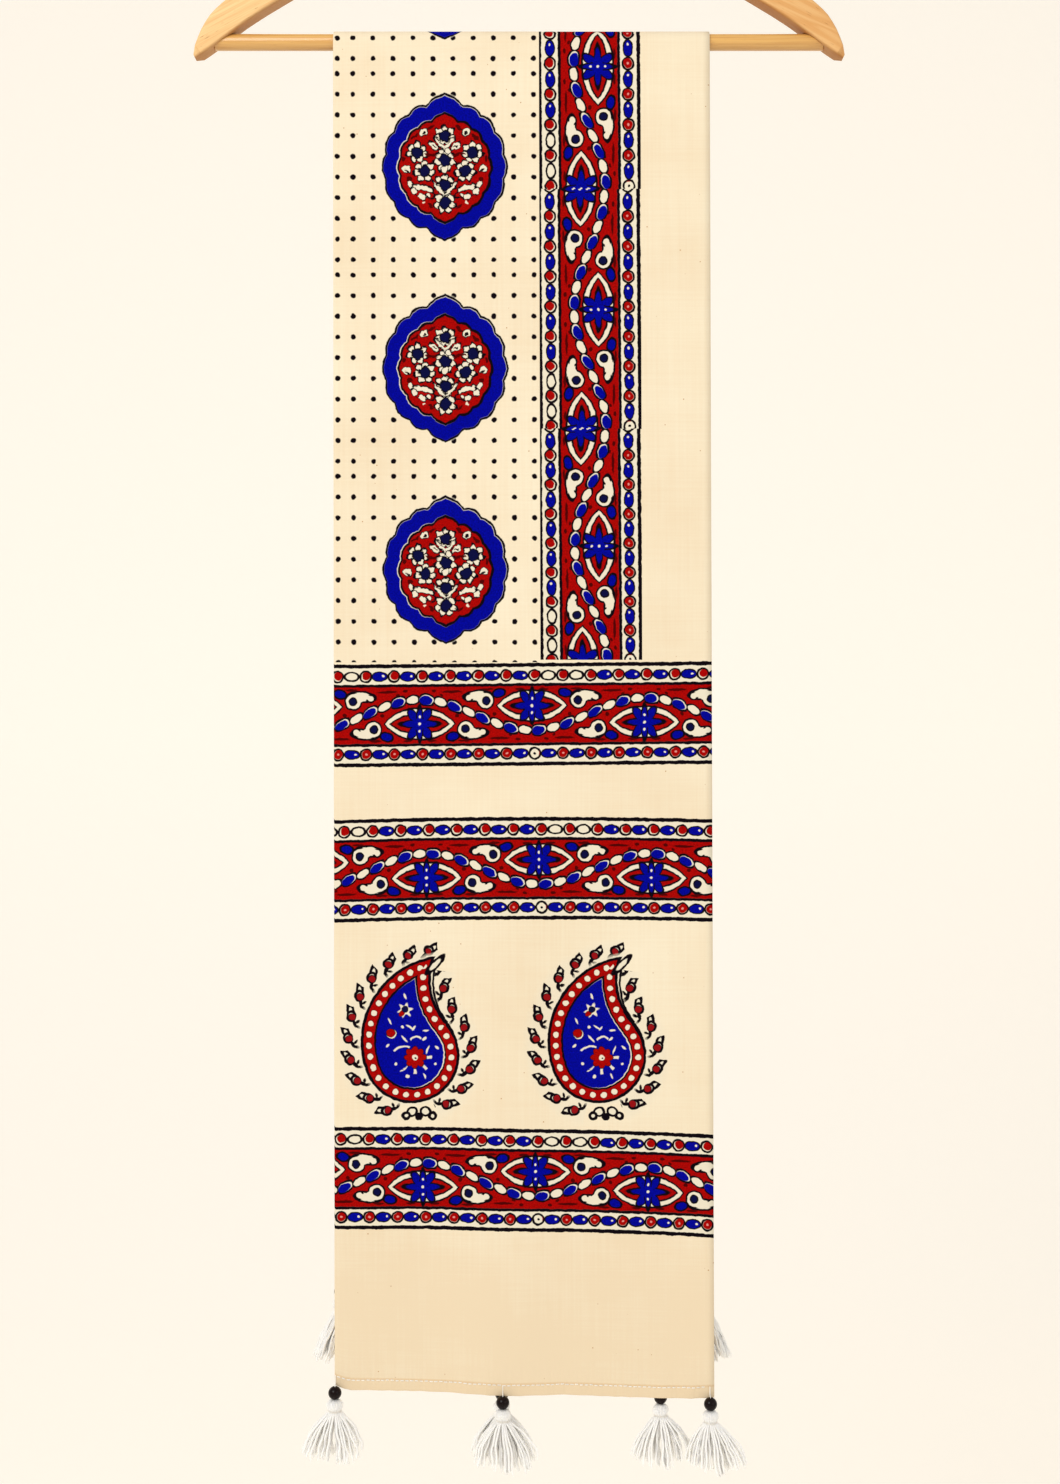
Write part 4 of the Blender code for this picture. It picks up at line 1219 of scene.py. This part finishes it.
def bar_material():
    """A pale stick under honey varnish, with long brown streaks and painted shade on its underside."""
    material, tree = new_material("varnished stick")
    x, y, z = split_all(object_place(tree))
    bands, fine, flecks = wood_grain(x, y * 2.0, z * 2.0)
    wood = mixed(bands * 0.35 + fine.ramp(2.2, -0.8) * 0.5, flood(tree, DOWEL_PALE), DOWEL_HONEY)
    wood = mixed(flecks * 0.5, wood, DOWEL_BROWN)
    # Painted shade: faces that look down are mixed towards brown
    painted_shade_normal = split_all(add(tree, "ShaderNodeNewGeometry", output=1))
    wood = mixed((0 - painted_shade_normal[2]).ramp(1.2, -0.1) * 0.35, wood, DOWEL_BROWN)
    finish_material(add(tree, "ShaderNodeBsdfPrincipled", {
        "Base Color": wood,
        "Roughness": fine * 0.1 + 0.3,
        "Coat Weight": 0.6,
        "Coat Roughness": 0.14,
    }))
    return material


def steel_material():
    """Bright zinc plating, drawn lengthwise, with faint duller patches."""
    material, tree = new_material("plated steel")
    place = object_place(tree)
    patches = add(tree, "ShaderNodeTexNoise", {"Vector": place, "Scale": 0.25, "Detail": 4.0})
    finish_material(add(tree, "ShaderNodeBsdfPrincipled", {
        "Base Color": mixed(patches.ramp(2.0, -0.6), flood(tree, STEEL_BRIGHT), STEEL_GREY),
        "Metallic": 1.0,
        "Roughness": patches * 0.25 + 0.1,
    }))
    return material


sewing_thread = soft_cotton("spun sewing thread", THREAD_PALE, THREAD_CREAM, 2.0)
tassel_yarn = soft_cotton("white cotton yarn", YARN_WHITE, YARN_GREY, 1.2)
dark_wood = bead_material()
beech = arm_material()
varnish = bar_material()
plated_steel = steel_material()
print("materials of the small parts:", 6)


# %% [markdown]
# ### Thickness, and places on one image
#
# The sheet now gets the cotton's real thickness. Its second side is the wrong side of the print, where the
# colour only shows through, so it has a material of its own. The UV map "OFBake" lays the finish out on one
# image, and the two outer drops, which are what one sees, get most of that image.

# %% Dress the stole
BAKE_PLACES = {  # left edge, lower edge and scale on the image
    ("outer", "front"): {"left": 0.004, "low": 0.004, "scale": 1.05},
    ("outer", "back"): {"left": 0.280, "low": 0.004, "scale": 1.05},
    ("inner", "front"): {"left": 0.560, "low": 0.004, "scale": 0.52},
    ("inner", "back"): {"left": 0.560, "low": 0.504, "scale": 0.52},
    ("wrong side", "front"): {"left": 0.694, "low": 0.004, "scale": 0.54},
}
OUTER_START = inner_start
INNER_END = inner_start - INNER_WIDTH
MIDDLE_V = FRONT_DROP + math.pi / 2 * (BAR_RADIUS + LAYERS_AT_BAR["outer"])
RIM_LEFT, RIM_STEP = 0.975, 0.008
RIM_LOW, RIM_SCALE, RIM_SLANT = 0.01, 0.5, 0.05


def bake_places(corners):
    """Where a face lies on the baked image, from its corners on the flat cloth."""
    layer = "outer" if sum(u for u, v in corners) / len(corners) > OUTER_START else "inner"
    end = "front" if sum(v for u, v in corners) / len(corners) < MIDDLE_V else "back"
    place = BAKE_PLACES[layer, end]
    from_u = OUTER_START if layer == "outer" else INNER_END
    from_v = -HEM_DEPTH if end == "front" else MIDDLE_V
    return [
        (place["left"] + (u - from_u) * place["scale"], place["low"] + (v - from_v) * place["scale"])
        for u, v in corners
    ]


bake = sheet.uv_layers.new(name="OFBake")
for face in sheet.polygons:
    corners = [flat_place(*grid_place[k]) for k in face.vertices]
    for loop, place in zip(face.loop_indices, bake_places(corners)):
        bake.data[loop].uv = place
raw_places = [flat_place(*place) for place in grid_place]
for material in stole_materials:
    sheet.materials.append(material)
thicken = stole.modifiers.new("thickness of the cotton", "SOLIDIFY")
thicken.thickness = COTTON
thicken.offset = 0.0
thicken.material_offset = REVERSE
thicken.material_offset_rim = REVERSE
bpy.ops.object.modifier_apply(modifier=thicken.name)
bake = sheet.uv_layers["OFBake"]
wrong_side = BAKE_PLACES["wrong side", "front"]
for number, face in enumerate(sheet.polygons):
    if number < print_faces:
        continue
    for corner, loop in enumerate(face.loop_indices):
        u, v = raw_places[sheet.loops[loop].vertex_index % len(raw_places)]
        if number < 2 * print_faces:
            across = wrong_side["left"] + (u - INNER_END) * wrong_side["scale"]
            up = wrong_side["low"] + (v + HEM_DEPTH) * wrong_side["scale"]
        else:
            across = RIM_LEFT + RIM_STEP * (corner in (1, 2))
            up = RIM_LOW + RIM_SCALE * v + RIM_SLANT * u
        bake.data[loop].uv = (across, up)
bpy.ops.object.shade_smooth()
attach(stole, "root")
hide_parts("stole")
print("stole:", len(sheet.polygons), "faces")

# %% [markdown]
# ### Hem stitching
#
# The hem is turned once and sewn with one row of running stitch, 8 mm above its edge. Each stitch shows as a
# short dash of cream thread that dips into the cloth at both its ends. The dashes are splines of one curve
# object, given a round section and turned into a mesh.

# %% Stitches
STITCH_LENGTH, STITCH_PITCH = 2.3 * MM, 3.3 * MM
STITCH_RADIUS = 0.40 * MM
STITCH_ARC = [  # share of the stitch's length, rise in millimetres, share of the thread's thickness
    (0.0, -0.10, 0.7),
    (0.15, 0.18, 1.0),
    (0.85, 0.18, 1.0),
    (1.0, -0.10, 0.7),
]
STITCH_ROW = 7.2 * MM


def at_hem(end, layer, x, above, lift):
    """A point off the cloth's printed side, near a hem, for what is sewn on there."""
    across = (x - FOLD_X) / (OUTER_EDGE_X - FOLD_X)
    start = x - LEFT_DRIFT - across * (RIGHT_DRIFT - LEFT_DRIFT)
    turn_x = FOLD_X + (LAYERS_AT_HEM["outer"] - LAYERS_AT_HEM["inner"]) / 2
    free_x = OUTER_EDGE_X if layer == "outer" else INNER_EDGE_X
    share = (start - free_x) / (turn_x - free_x)
    column = {"layer": layer, "at": share if layer == "outer" else 1 - share}
    return Vector(cloth_place({"end": end, "above": above, "behind": 0.0}, column, lift))


def thread_object(name, lines, radius, resolution=1):
    """A mesh of round threads. Each line is a list of points, each with its share of the radius."""
    curve = bpy.data.curves.new(name, "CURVE")
    curve.dimensions = "3D"
    curve.bevel_depth = radius
    curve.bevel_resolution = resolution
    curve.use_fill_caps = True
    for line in lines:
        spline = curve.splines.new("POLY")
        spline.points.add(len(line) - 1)
        for point, (place, share) in zip(spline.points, line):
            point.co = (*place, 1.0)
            point.radius = share
    thread = bpy.data.objects.new(name, curve)
    scene.collection.objects.link(thread)
    bpy.ops.object.select_all(action="DESELECT")
    thread.select_set(True)
    bpy.context.view_layer.objects.active = thread
    bpy.ops.object.convert(target="MESH")
    bpy.ops.object.shade_smooth()
    return thread


def hem_stitches(end, layer):
    """The dashes of one layer's hem, from the fold to the free edge."""
    free_x = (OUTER_EDGE_X if layer == "outer" else INNER_EDGE_X) - 2 * MM
    count = int((free_x - FOLD_X - 3 * MM) / STITCH_PITCH)
    wander = random.Random(7 if end == "front" else 8)
    lines = []
    for k in range(count):
        start = FOLD_X + 3 * MM + k * STITCH_PITCH
        above = STITCH_ROW + wander.uniform(-0.2, 0.2) * MM
        length = STITCH_LENGTH * wander.uniform(0.85, 1.1)
        line = []
        for share, lift, thick in STITCH_ARC:
            place = at_hem(end, layer, start + share * length, above, COTTON / 2 + lift * MM)
            line.append((place, thick))
        lines.append(line)
    return lines


stitch_lines = []
for end in ("front", "back"):
    for layer in ("outer", "inner"):
        stitch_lines += hem_stitches(end, layer)
stitches = thread_object("hem_stitches", stitch_lines, STITCH_RADIUS)
stitches.data.materials.append(sewing_thread)
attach(stitches, "root")
print("stitches:", len(stitch_lines))

# %% [markdown]
# ## Beads
#
# Small dark beads turned from hardwood and polished. A sphere is cut open at both its poles and the two rims
# are joined by the wall of the bore, so that the tassel's thread runs through it.

# %% Beads
BEAD_RADIUS, BORE_RADIUS = 4.5 * MM, 0.95 * MM
TASSEL_NAMES = [f"{end}_{k}" for end in ("front", "back") for k in range(1, 6)]


def box_middle(node):
    low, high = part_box(node)
    return (Vector(low) + Vector(high)) / 2


for name in TASSEL_NAMES:
    bpy.ops.object.select_all(action="DESELECT")
    bpy.ops.mesh.primitive_uv_sphere_add(segments=36, ring_count=23, radius=BEAD_RADIUS)
    bead = bpy.context.object
    bead.name = "turned_bead_" + name
    bpy.ops.object.mode_set(mode="EDIT")
    bpy.ops.mesh.select_all(action="DESELECT")
    bpy.ops.object.mode_set(mode="OBJECT")
    for vertex in bead.data.vertices:
        vertex.select = math.hypot(vertex.co.x, vertex.co.y) < BORE_RADIUS
    bpy.ops.object.mode_set(mode="EDIT")
    bpy.ops.mesh.delete(type="VERT")
    bpy.ops.mesh.select_all(action="DESELECT")
    bpy.ops.mesh.select_non_manifold()
    bpy.ops.mesh.bridge_edge_loops()
    bpy.ops.mesh.select_all(action="SELECT")
    bpy.ops.mesh.normals_make_consistent(inside=False)
    bpy.ops.object.mode_set(mode="OBJECT")
    bpy.ops.object.shade_smooth_by_angle(angle=math.radians(50))
    bead.data.transform(Matrix.Translation(box_middle("bead_" + name)))
    bead.data.materials.append(dark_wood)
    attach(bead, "root")
    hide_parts("bead_" + name)
print("beads:", len(TASSEL_NAMES), "with", len(bead.data.polygons), "faces each")

# %% [markdown]
# ## Tassels
#
# A tassel is a bundle of thick, soft cotton yarn. It is laid over a thread, tied tightly round its neck and
# cut off below. So each outer strand here runs up over the head and down into the skirt, more strands fill
# the skirt from inside the neck, and a thread is wound round the neck. Soft yarn hangs in a few uneven
# locks, and each strand waves and ends a little sooner or later than its neighbours.

# %% Tassels
HEAD_SHAPE = [  # down from the top of the head, and out from its middle, in millimetres
    {"down": 0.15, "out": 0.5},
    {"down": 0.25, "out": 2.2},
    {"down": 1.00, "out": 3.9},
    {"down": 2.60, "out": 4.9},
    {"down": 4.40, "out": 4.9},
    {"down": 6.00, "out": 4.0},
    {"down": 6.90, "out": 3.4},
    {"down": 7.80, "out": 3.9},
]
OUTER_STRANDS, INNER_STRANDS, LOCKS = 26, 52, 9
YARN_RADIUS = 0.72 * MM
SKIRT_LENGTH, SKIRT_HALF_WIDTH = 33 * MM, 17.4 * MM
SKIRT_HALF_DEPTH = {"outer": 5.2 * MM, "inner": 3.6 * MM}
SKIRT_STEPS = 13
THREAD_RADIUS = 0.42 * MM
TASSELS = {  # how far the skirt hangs to the right, in millimetres, and the layer it hangs from
    "front_1": {"sway": 4.4, "layer": "outer"},
    "front_2": {"sway": 2.9, "layer": "outer"},
    "front_3": {"sway": -0.4, "layer": "outer"},
    "front_4": {"sway": 1.0, "layer": "inner"},
    "front_5": {"sway": 2.2, "layer": "inner"},
    "back_1": {"sway": 11.0, "layer": "outer", "flare": 0.22},
    "back_2": {"sway": -2.0, "layer": "outer"},
    "back_3": {"sway": -11.0, "layer": "outer", "flare": 0.22},
    "back_4": {"sway": -1.5, "layer": "inner"},
    "back_5": {"sway": -2.0, "layer": "inner"},
}


def skirt_line(root, angle, out_share, tassel, locks, chance):
    """A strand of the skirt from the neck down, drawn towards the lock that it belongs to."""
    lock = min(locks, key=lambda each: abs(math.remainder(each["angle"] - angle, 2 * math.pi)))
    far = out_share * chance.uniform(0.85, 1.05)
    own = Vector((math.cos(angle) * far, math.sin(angle) * far))
    shared = Vector((math.cos(lock["angle"]), math.sin(lock["angle"]))) * far
    flare = own.lerp(shared, 0.5)
    flare_x = flare.x * SKIRT_HALF_WIDTH * tassel.get("flare", 1.0)
    flare_y = flare.y * SKIRT_HALF_DEPTH[tassel["layer"]]
    length = SKIRT_LENGTH * (lock["length"] + chance.uniform(-0.06, 0.03))
    drop = math.sqrt(length**2 - min(abs(flare_x), 0.8 * length) ** 2)
    wave = chance.uniform(0.25, 0.75) * MM
    turns, start = chance.uniform(1.3, 2.6), chance.uniform(0, 2 * math.pi)
    line = []
    for k in range(1, SKIRT_STEPS + 1):
        share = k / SKIRT_STEPS
        spread_share = 1 - (1 - share) ** 1.9
        swing = wave * share**0.6 * math.sin(2 * math.pi * turns * share + start)
        lock_swing = lock["wave"] * share * math.sin(4.2 * share + lock["start"])
        place = root + Vector((
            flare_x * spread_share + tassel["sway"] * MM * share + swing + lock_swing,
            flare_y * spread_share + 0.6 * swing,
            -drop * share,
        ))
        line.append((place, 1.0 if k < SKIRT_STEPS else 0.55))
    return line


def tassel_lines(middle, tassel, chance):
    """Every strand of one tassel, from the middle of the top of its head."""
    locks = []
    for k in range(LOCKS):
        angle = 2 * math.pi * (k + chance.uniform(-0.25, 0.25)) / LOCKS
        length = chance.uniform(0.93, 1.05)
        wave = chance.uniform(0.4, 1.2) * MM
        locks.append({"angle": angle, "length": length, "wave": wave, "start": chance.uniform(0, 6.3)})
    lines = []
    for k in range(OUTER_STRANDS):
        angle = 2 * math.pi * (k + chance.uniform(-0.2, 0.2)) / OUTER_STRANDS
        way = Vector((math.cos(angle), math.sin(angle), 0))
        line = []
        for row in HEAD_SHAPE:
            out = row["out"] * MM * chance.uniform(0.97, 1.03)
            line.append((middle + way * out - Vector((0, 0, row["down"] * MM)), 1.0))
        root = line[-1][0]
        lines.append(line + skirt_line(root, angle, 1.0, tassel, locks, chance))
    for k in range(INNER_STRANDS):
        angle = chance.uniform(0, 2 * math.pi)
        far = math.sqrt(chance.uniform(0.02, 0.92))
        way = Vector((math.cos(angle), math.sin(angle), 0))
        root = middle + way * far * 3.3 * MM - Vector((0, 0, 7.4 * MM))
        start = root + Vector((0, 0, 1.2 * MM))
        lines.append([(start, 1.0), (root, 1.0)] + skirt_line(root, angle, far, tassel, locks, chance))
    return lines


def neck_winding(middle):
    """Three turns of thread round the neck."""
    line = []
    for k in range(73):
        angle = 2 * math.pi * k / 24
        down = (6.2 + 1.5 * k / 72) * MM
        line.append((middle + Vector((4.25 * MM * math.cos(angle), 4.25 * MM * math.sin(angle), -down)), 1.0))
    return line


def hanging_thread(end, layer, bead_middle, head_top):
    """The thread from the hem's stitches over the edge, through the bead and into the head."""
    lift = COTTON / 2 + THREAD_RADIUS
    places = [at_hem(end, layer, bead_middle.x, above * MM, lift) for above in (7.6, 6.0, 4.0, 2.2)]
    places += [bead_middle + Vector((0, 0, up * MM)) for up in (4.4, 0.0, -4.5)]
    places.append(head_top - Vector((0, 0, 0.6 * MM)))
    return [(place, 0.8) for place in places]


for number, name in enumerate(TASSEL_NAMES):
    tassel = TASSELS[name]
    chance = random.Random(40 + number)
    bead_middle = box_middle("bead_" + name)
    head_top = bead_middle - Vector((0, 0, BEAD_RADIUS + 0.2 * MM))
    lines = tassel_lines(head_top, tassel, chance)
    yarn = thread_object("yarn_" + name, lines, YARN_RADIUS)
    end = name.split("_")[0]
    ties = [neck_winding(head_top), hanging_thread(end, tassel["layer"], bead_middle, head_top)]
    tied = thread_object("tie_" + name, ties, THREAD_RADIUS, 2)
    yarn.data.materials.append(tassel_yarn)
    tied.data.materials.append(sewing_thread)
    for piece in (yarn, tied):
        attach(piece, "root")
        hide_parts("tassel_" + name)
print("tassels:", len(TASSEL_NAMES), "with", len(yarn.data.polygons), "faces each")

# %% [markdown]
# ## The coat hanger
#
# Both arms and the neck are sawn from one board of pale beech and their edges are rounded over. The outline
# is the same smooth curve that the solid has, drawn with more points, pushed through the board's thickness
# and bevelled. The bar is a varnished round stick that is glued into both arms. The hook is bent steel wire
# with a bright plating and a rounded tip.

# %% Hanger arms
ARM_THICKNESS, ARM_EDGE = 15 * MM, 2.0 * MM
ARM_STATIONS, CORNER_STEPS = 48, 6
TIP_ROUND = 2.5 * MM  # the length over which an arm's end is rounded in plan
ARM_TOP_EDGE = [  # half of the outline from the front: out from the middle, up from the bar's axis
    {"out": 0.000, "up": 0.1320},
    {"out": 0.009, "up": 0.1310},
    {"out": 0.020, "up": 0.1215},
    {"out": 0.042, "up": 0.1110},
    {"out": 0.075, "up": 0.0970},
    {"out": 0.115, "up": 0.0790},
    {"out": 0.155, "up": 0.0570},
    {"out": 0.180, "up": 0.0415},
    {"out": 0.198, "up": 0.0286},
    {"out": 0.2119, "up": 0.0154},
    {"out": 0.2200, "up": -0.0010},
    {"out": 0.2226, "up": -0.0092},
]
ARM_UNDER_EDGE = [
    {"out": 0.2212, "up": -0.0118},
    {"out": 0.2182, "up": -0.0112},
    {"out": 0.2063, "up": -0.0030},
    {"out": 0.1855, "up": 0.0126},
    {"out": 0.1598, "up": 0.0286},
    {"out": 0.1200, "up": 0.0515},
    {"out": 0.0800, "up": 0.0705},
    {"out": 0.0400, "up": 0.0840},
    {"out": 0.0000, "up": 0.0895},
]


def even_points(table, count):
    """Points at even steps along a smooth curve through a table's rows, in the hanger's plane."""
    places = [(row["out"], 0.0, row["up"]) for row in table]
    ends = [places[0], *places, places[-1]]
    curve = []
    for before, start, stop, after in zip(ends, ends[1:], ends[2:], ends[3:]):
        middle = [(9 * (b + c) - a - d) / 16 for a, b, c, d in zip(before, start, stop, after)]
        curve += [Vector(start), Vector(middle)]
    curve.append(Vector(places[-1]))
    so_far = [0.0]
    for start, stop in zip(curve, curve[1:]):
        so_far.append(so_far[-1] + (stop - start).length)
    wanted = [so_far[-1] * k / (count - 1) for k in range(count)]
    return [Vector([np.interp(at, so_far, [p[axis] for p in curve]) for axis in range(3)]) for at in wanted]


def arm_section(top, under, deep):
    """One rounded section across an arm, as a ring of points."""
    tall = (top - under).length
    radius = min(ARM_EDGE, 0.48 * tall, 0.48 * deep)
    upward = (top - under).normalized()
    middle = (top + under) / 2 + Vector((0, 0, BAR_HEIGHT))
    ring = []
    for corner, (side, rise) in enumerate(((1, 1), (-1, 1), (-1, -1), (1, -1))):
        for k in range(CORNER_STEPS):
            angle = math.pi / 2 * (corner + k / (CORNER_STEPS - 1))
            across = side * (deep / 2 - radius) + radius * math.cos(angle)
            along = rise * (tall / 2 - radius) + radius * math.sin(angle)
            ring.append(middle + Vector((0, across, 0)) + upward * along)
    return ring


top_line = even_points(ARM_TOP_EDGE, ARM_STATIONS)
under_line = even_points(ARM_UNDER_EDGE[::-1], ARM_STATIONS)
stations = []
for k in range(ARM_STATIONS):
    left_of_tip = (top_line[-1].x - top_line[k].x) / TIP_ROUND
    deep = ARM_THICKNESS * math.sqrt(1 - (1 - min(1.0, left_of_tip + 0.12)) ** 2)
    stations.append((top_line[k], under_line[k], deep))
mirror = Vector((-1, 1, 1))
stations = [(top * mirror, under * mirror, deep) for top, under, deep in stations[:0:-1]] + stations
rings = [arm_section(*station) for station in stations]
arms_mesh = bpy.data.meshes.new("sawn_arms")
sides = 4 * CORNER_STEPS
faces = [list(range(sides)), list(range(len(rings) * sides - 1, (len(rings) - 1) * sides - 1, -1))]
for ring in range(len(rings) - 1):
    for k in range(sides):
        after = (k + 1) % sides
        lower, upper = ring * sides, (ring + 1) * sides
        faces.append([lower + k, upper + k, upper + after, lower + after])
arms_mesh.from_pydata([point for ring in rings for point in ring], [], faces)
arms = bpy.data.objects.new("sawn_arms", arms_mesh)
scene.collection.objects.link(arms)
bpy.ops.object.select_all(action="DESELECT")
arms.select_set(True)
bpy.context.view_layer.objects.active = arms
bpy.ops.object.mode_set(mode="EDIT")
bpy.ops.mesh.select_all(action="SELECT")
bpy.ops.mesh.normals_make_consistent(inside=False)
bpy.ops.object.mode_set(mode="OBJECT")

# The holes for the bar and for the hook's root
SOCKET_GAP = 0.4 * MM
BAR_HALF_LENGTH = 0.208
HOOK_WIRE = 2 * MM
NECK_TOP, HOOK_ROOT_DEPTH = 0.132, 0.014
bar_hole = {"radius": BAR_RADIUS + SOCKET_GAP, "depth": 2 * (BAR_HALF_LENGTH + SOCKET_GAP)}
hook_hole = {"radius": HOOK_WIRE + SOCKET_GAP, "depth": 2 * (HOOK_ROOT_DEPTH + SOCKET_GAP)}
for hole, place, turn in (
    (bar_hole, (0, 0, BAR_HEIGHT), (0, math.pi / 2, 0)),
    (hook_hole, (0, 0, BAR_HEIGHT + NECK_TOP), (0, 0, 0)),
):
    bpy.ops.object.select_all(action="DESELECT")
    bpy.ops.mesh.primitive_cylinder_add(vertices=48, location=place, rotation=turn, **hole)
    drill = bpy.context.object
    bpy.context.view_layer.objects.active = arms
    cut = arms.modifiers.new("drilled hole", "BOOLEAN")
    cut.operation = "DIFFERENCE"
    cut.solver = "EXACT"
    cut.object = drill
    bpy.ops.object.modifier_apply(modifier=cut.name)
    bpy.data.objects.remove(drill)
bpy.ops.object.select_all(action="DESELECT")
arms.select_set(True)
bpy.context.view_layer.objects.active = arms
bpy.ops.object.shade_smooth_by_angle(angle=math.radians(32))
arms.data.materials.append(beech)
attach(arms, "root")
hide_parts("hanger_arms")
print("arms:", len(arms.data.polygons), "faces")

# %% [markdown]
# ### Bar and hook
#
# The bar is a varnished stick whose ends are let into both arms. The hook is one length of plated wire:
# a straight stem, a bend to the side and most of a circle, with a rounded tip.

# %% Hanger bar
bpy.ops.object.select_all(action="DESELECT")
bpy.ops.mesh.primitive_cylinder_add(
    vertices=64, radius=BAR_RADIUS, depth=2 * BAR_HALF_LENGTH, rotation=(0, math.pi / 2, 0)
)
bar = bpy.context.object
bar.name = "varnished_bar"
bpy.ops.object.transform_apply(rotation=True)
bar.data.transform(Matrix.Translation((0, 0, BAR_HEIGHT)))
rounding = bar.modifiers.new("rounded ends", "BEVEL")
rounding.width = 0.5 * MM
rounding.segments = 3
rounding.limit_method = "ANGLE"
rounding.angle_limit = math.radians(60)
bpy.ops.object.modifier_apply(modifier=rounding.name)
bpy.ops.object.shade_smooth_by_angle(angle=math.radians(40))
bar.data.materials.append(varnish)
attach(bar, "root")
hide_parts("hanger_bar")
print("bar:", len(bar.data.polygons), "faces")

# %% Hanger hook
HOOK_INNER = 19 * MM
HOOK_BEND, HOOK_TIP = math.radians(60), math.radians(196)
STEM_STEPS, ARC_STEPS, TIP_STEPS = 16, 64, 5
middle_radius = HOOK_INNER + HOOK_WIRE
bend_radius = middle_radius * math.cos(HOOK_BEND) / (1 - math.cos(HOOK_BEND))
stem_top = -HOOK_INNER - (middle_radius + bend_radius) * math.sin(HOOK_BEND)
hook_line = [((0, 0, BAR_HEIGHT + NECK_TOP - HOOK_ROOT_DEPTH), 1.0)]
for k in range(STEM_STEPS):
    swing = HOOK_BEND * k / STEM_STEPS
    bend_x, bend_z = bend_radius * (1 - math.cos(swing)), stem_top + bend_radius * math.sin(swing)
    hook_line.append(((bend_x, 0, bend_z), 1.0))
for k in range(ARC_STEPS + 1):
    angle = -HOOK_BEND + (HOOK_TIP + HOOK_BEND) * k / ARC_STEPS
    arc_x, arc_z = middle_radius * math.cos(angle), middle_radius * math.sin(angle) - HOOK_INNER
    hook_line.append(((arc_x, 0, arc_z), 1.0))
tip = Vector(hook_line[-1][0])
onward = (tip - Vector(hook_line[-2][0])).normalized()
for k in range(1, TIP_STEPS + 1):
    slope = math.pi / 2 * k / TIP_STEPS
    hook_line.append((tuple(tip + onward * HOOK_WIRE * math.sin(slope)), max(0.03, math.cos(slope))))
hook = thread_object("bent_hook", [hook_line], HOOK_WIRE, 5)
hook.data.materials.append(plated_steel)
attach(hook, "root")
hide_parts("hanger_hook")
print("hook:", len(hook.data.polygons), "faces")

# %% [markdown]
# ## Light and floor
#
# One soft lamp stands at the front left and a weaker one at the front right, and the sky lights the rest.
# The floor's sheet curves up into a wall far behind the stole, and nothing on it draws the eye.

# %% Light and floor
FLOOR_Z, WALL_Y, SWEEP = -1.95, 3.6, 1.3
FLOOR_NEAR, FLOOR_HALF_WIDTH, WALL_TOP = -6.0, 7.0, 9.0
SWEEP_STEPS = 16
SKY_COLOUR, SKY_STRENGTH = linear("fffdf8"), 0.67
KEY = {"place": Vector((-1.5, -2.2, 0.9)), "size": 1.6, "watts": 42.0, "colour": (1.0, 0.985, 0.96)}
FILL = {"place": Vector((2.2, -1.8, -0.3)), "size": 2.0, "watts": 8.0, "colour": (1.0, 0.97, 0.93)}
for name, lamp in (("key", KEY), ("fill", FILL)):
    light = bpy.data.lights.new(name, "AREA")
    light.shape = "SQUARE"
    light.size = lamp["size"]
    light.energy = lamp["watts"]
    light.color = lamp["colour"]
    holder = bpy.data.objects.new(name, light)
    holder.location = lamp["place"]
    holder.rotation_euler = (lamp["place"] - VIEW_CENTRE).to_track_quat("Z", "Y").to_euler()
    scene.collection.objects.link(holder)
world = bpy.data.worlds.new("pale sky")
world.use_nodes = True
world.node_tree.nodes["Background"].inputs["Color"].default_value = SKY_COLOUR
world.node_tree.nodes["Background"].inputs["Strength"].default_value = SKY_STRENGTH
scene.world = world

floor_profile = [(FLOOR_NEAR, FLOOR_Z), (WALL_Y - SWEEP, FLOOR_Z)]
for k in range(1, SWEEP_STEPS + 1):
    angle = math.pi / 2 * k / SWEEP_STEPS
    floor_profile.append((WALL_Y - SWEEP + SWEEP * math.sin(angle), FLOOR_Z + SWEEP * (1 - math.cos(angle))))
floor_profile.append((WALL_Y, WALL_TOP))
floor_mesh = bpy.data.meshes.new("paper_sweep")
corners = [(x, y, z) for y, z in floor_profile for x in (-FLOOR_HALF_WIDTH, FLOOR_HALF_WIDTH)]
strips = [(2 * k, 2 * k + 1, 2 * k + 3, 2 * k + 2) for k in range(len(floor_profile) - 1)]
floor_mesh.from_pydata(corners, [], strips)
floor_mesh.shade_smooth()
sweep = bpy.data.objects.new("paper_sweep", floor_mesh)
scene.collection.objects.link(sweep)
paper, tree = new_material("white paper sweep")
glow = {
    "Base Color": linear("f4f2ee"),
    "Roughness": 0.9,
    "Emission Color": linear("ffeed6"),
    "Emission Strength": 0.22,
}
finish_material(add(tree, "ShaderNodeBsdfPrincipled", glow))
floor_mesh.materials.append(paper)

# %% [markdown]
# ## Finish

# %% Finish
bpy.context.view_layer.update()
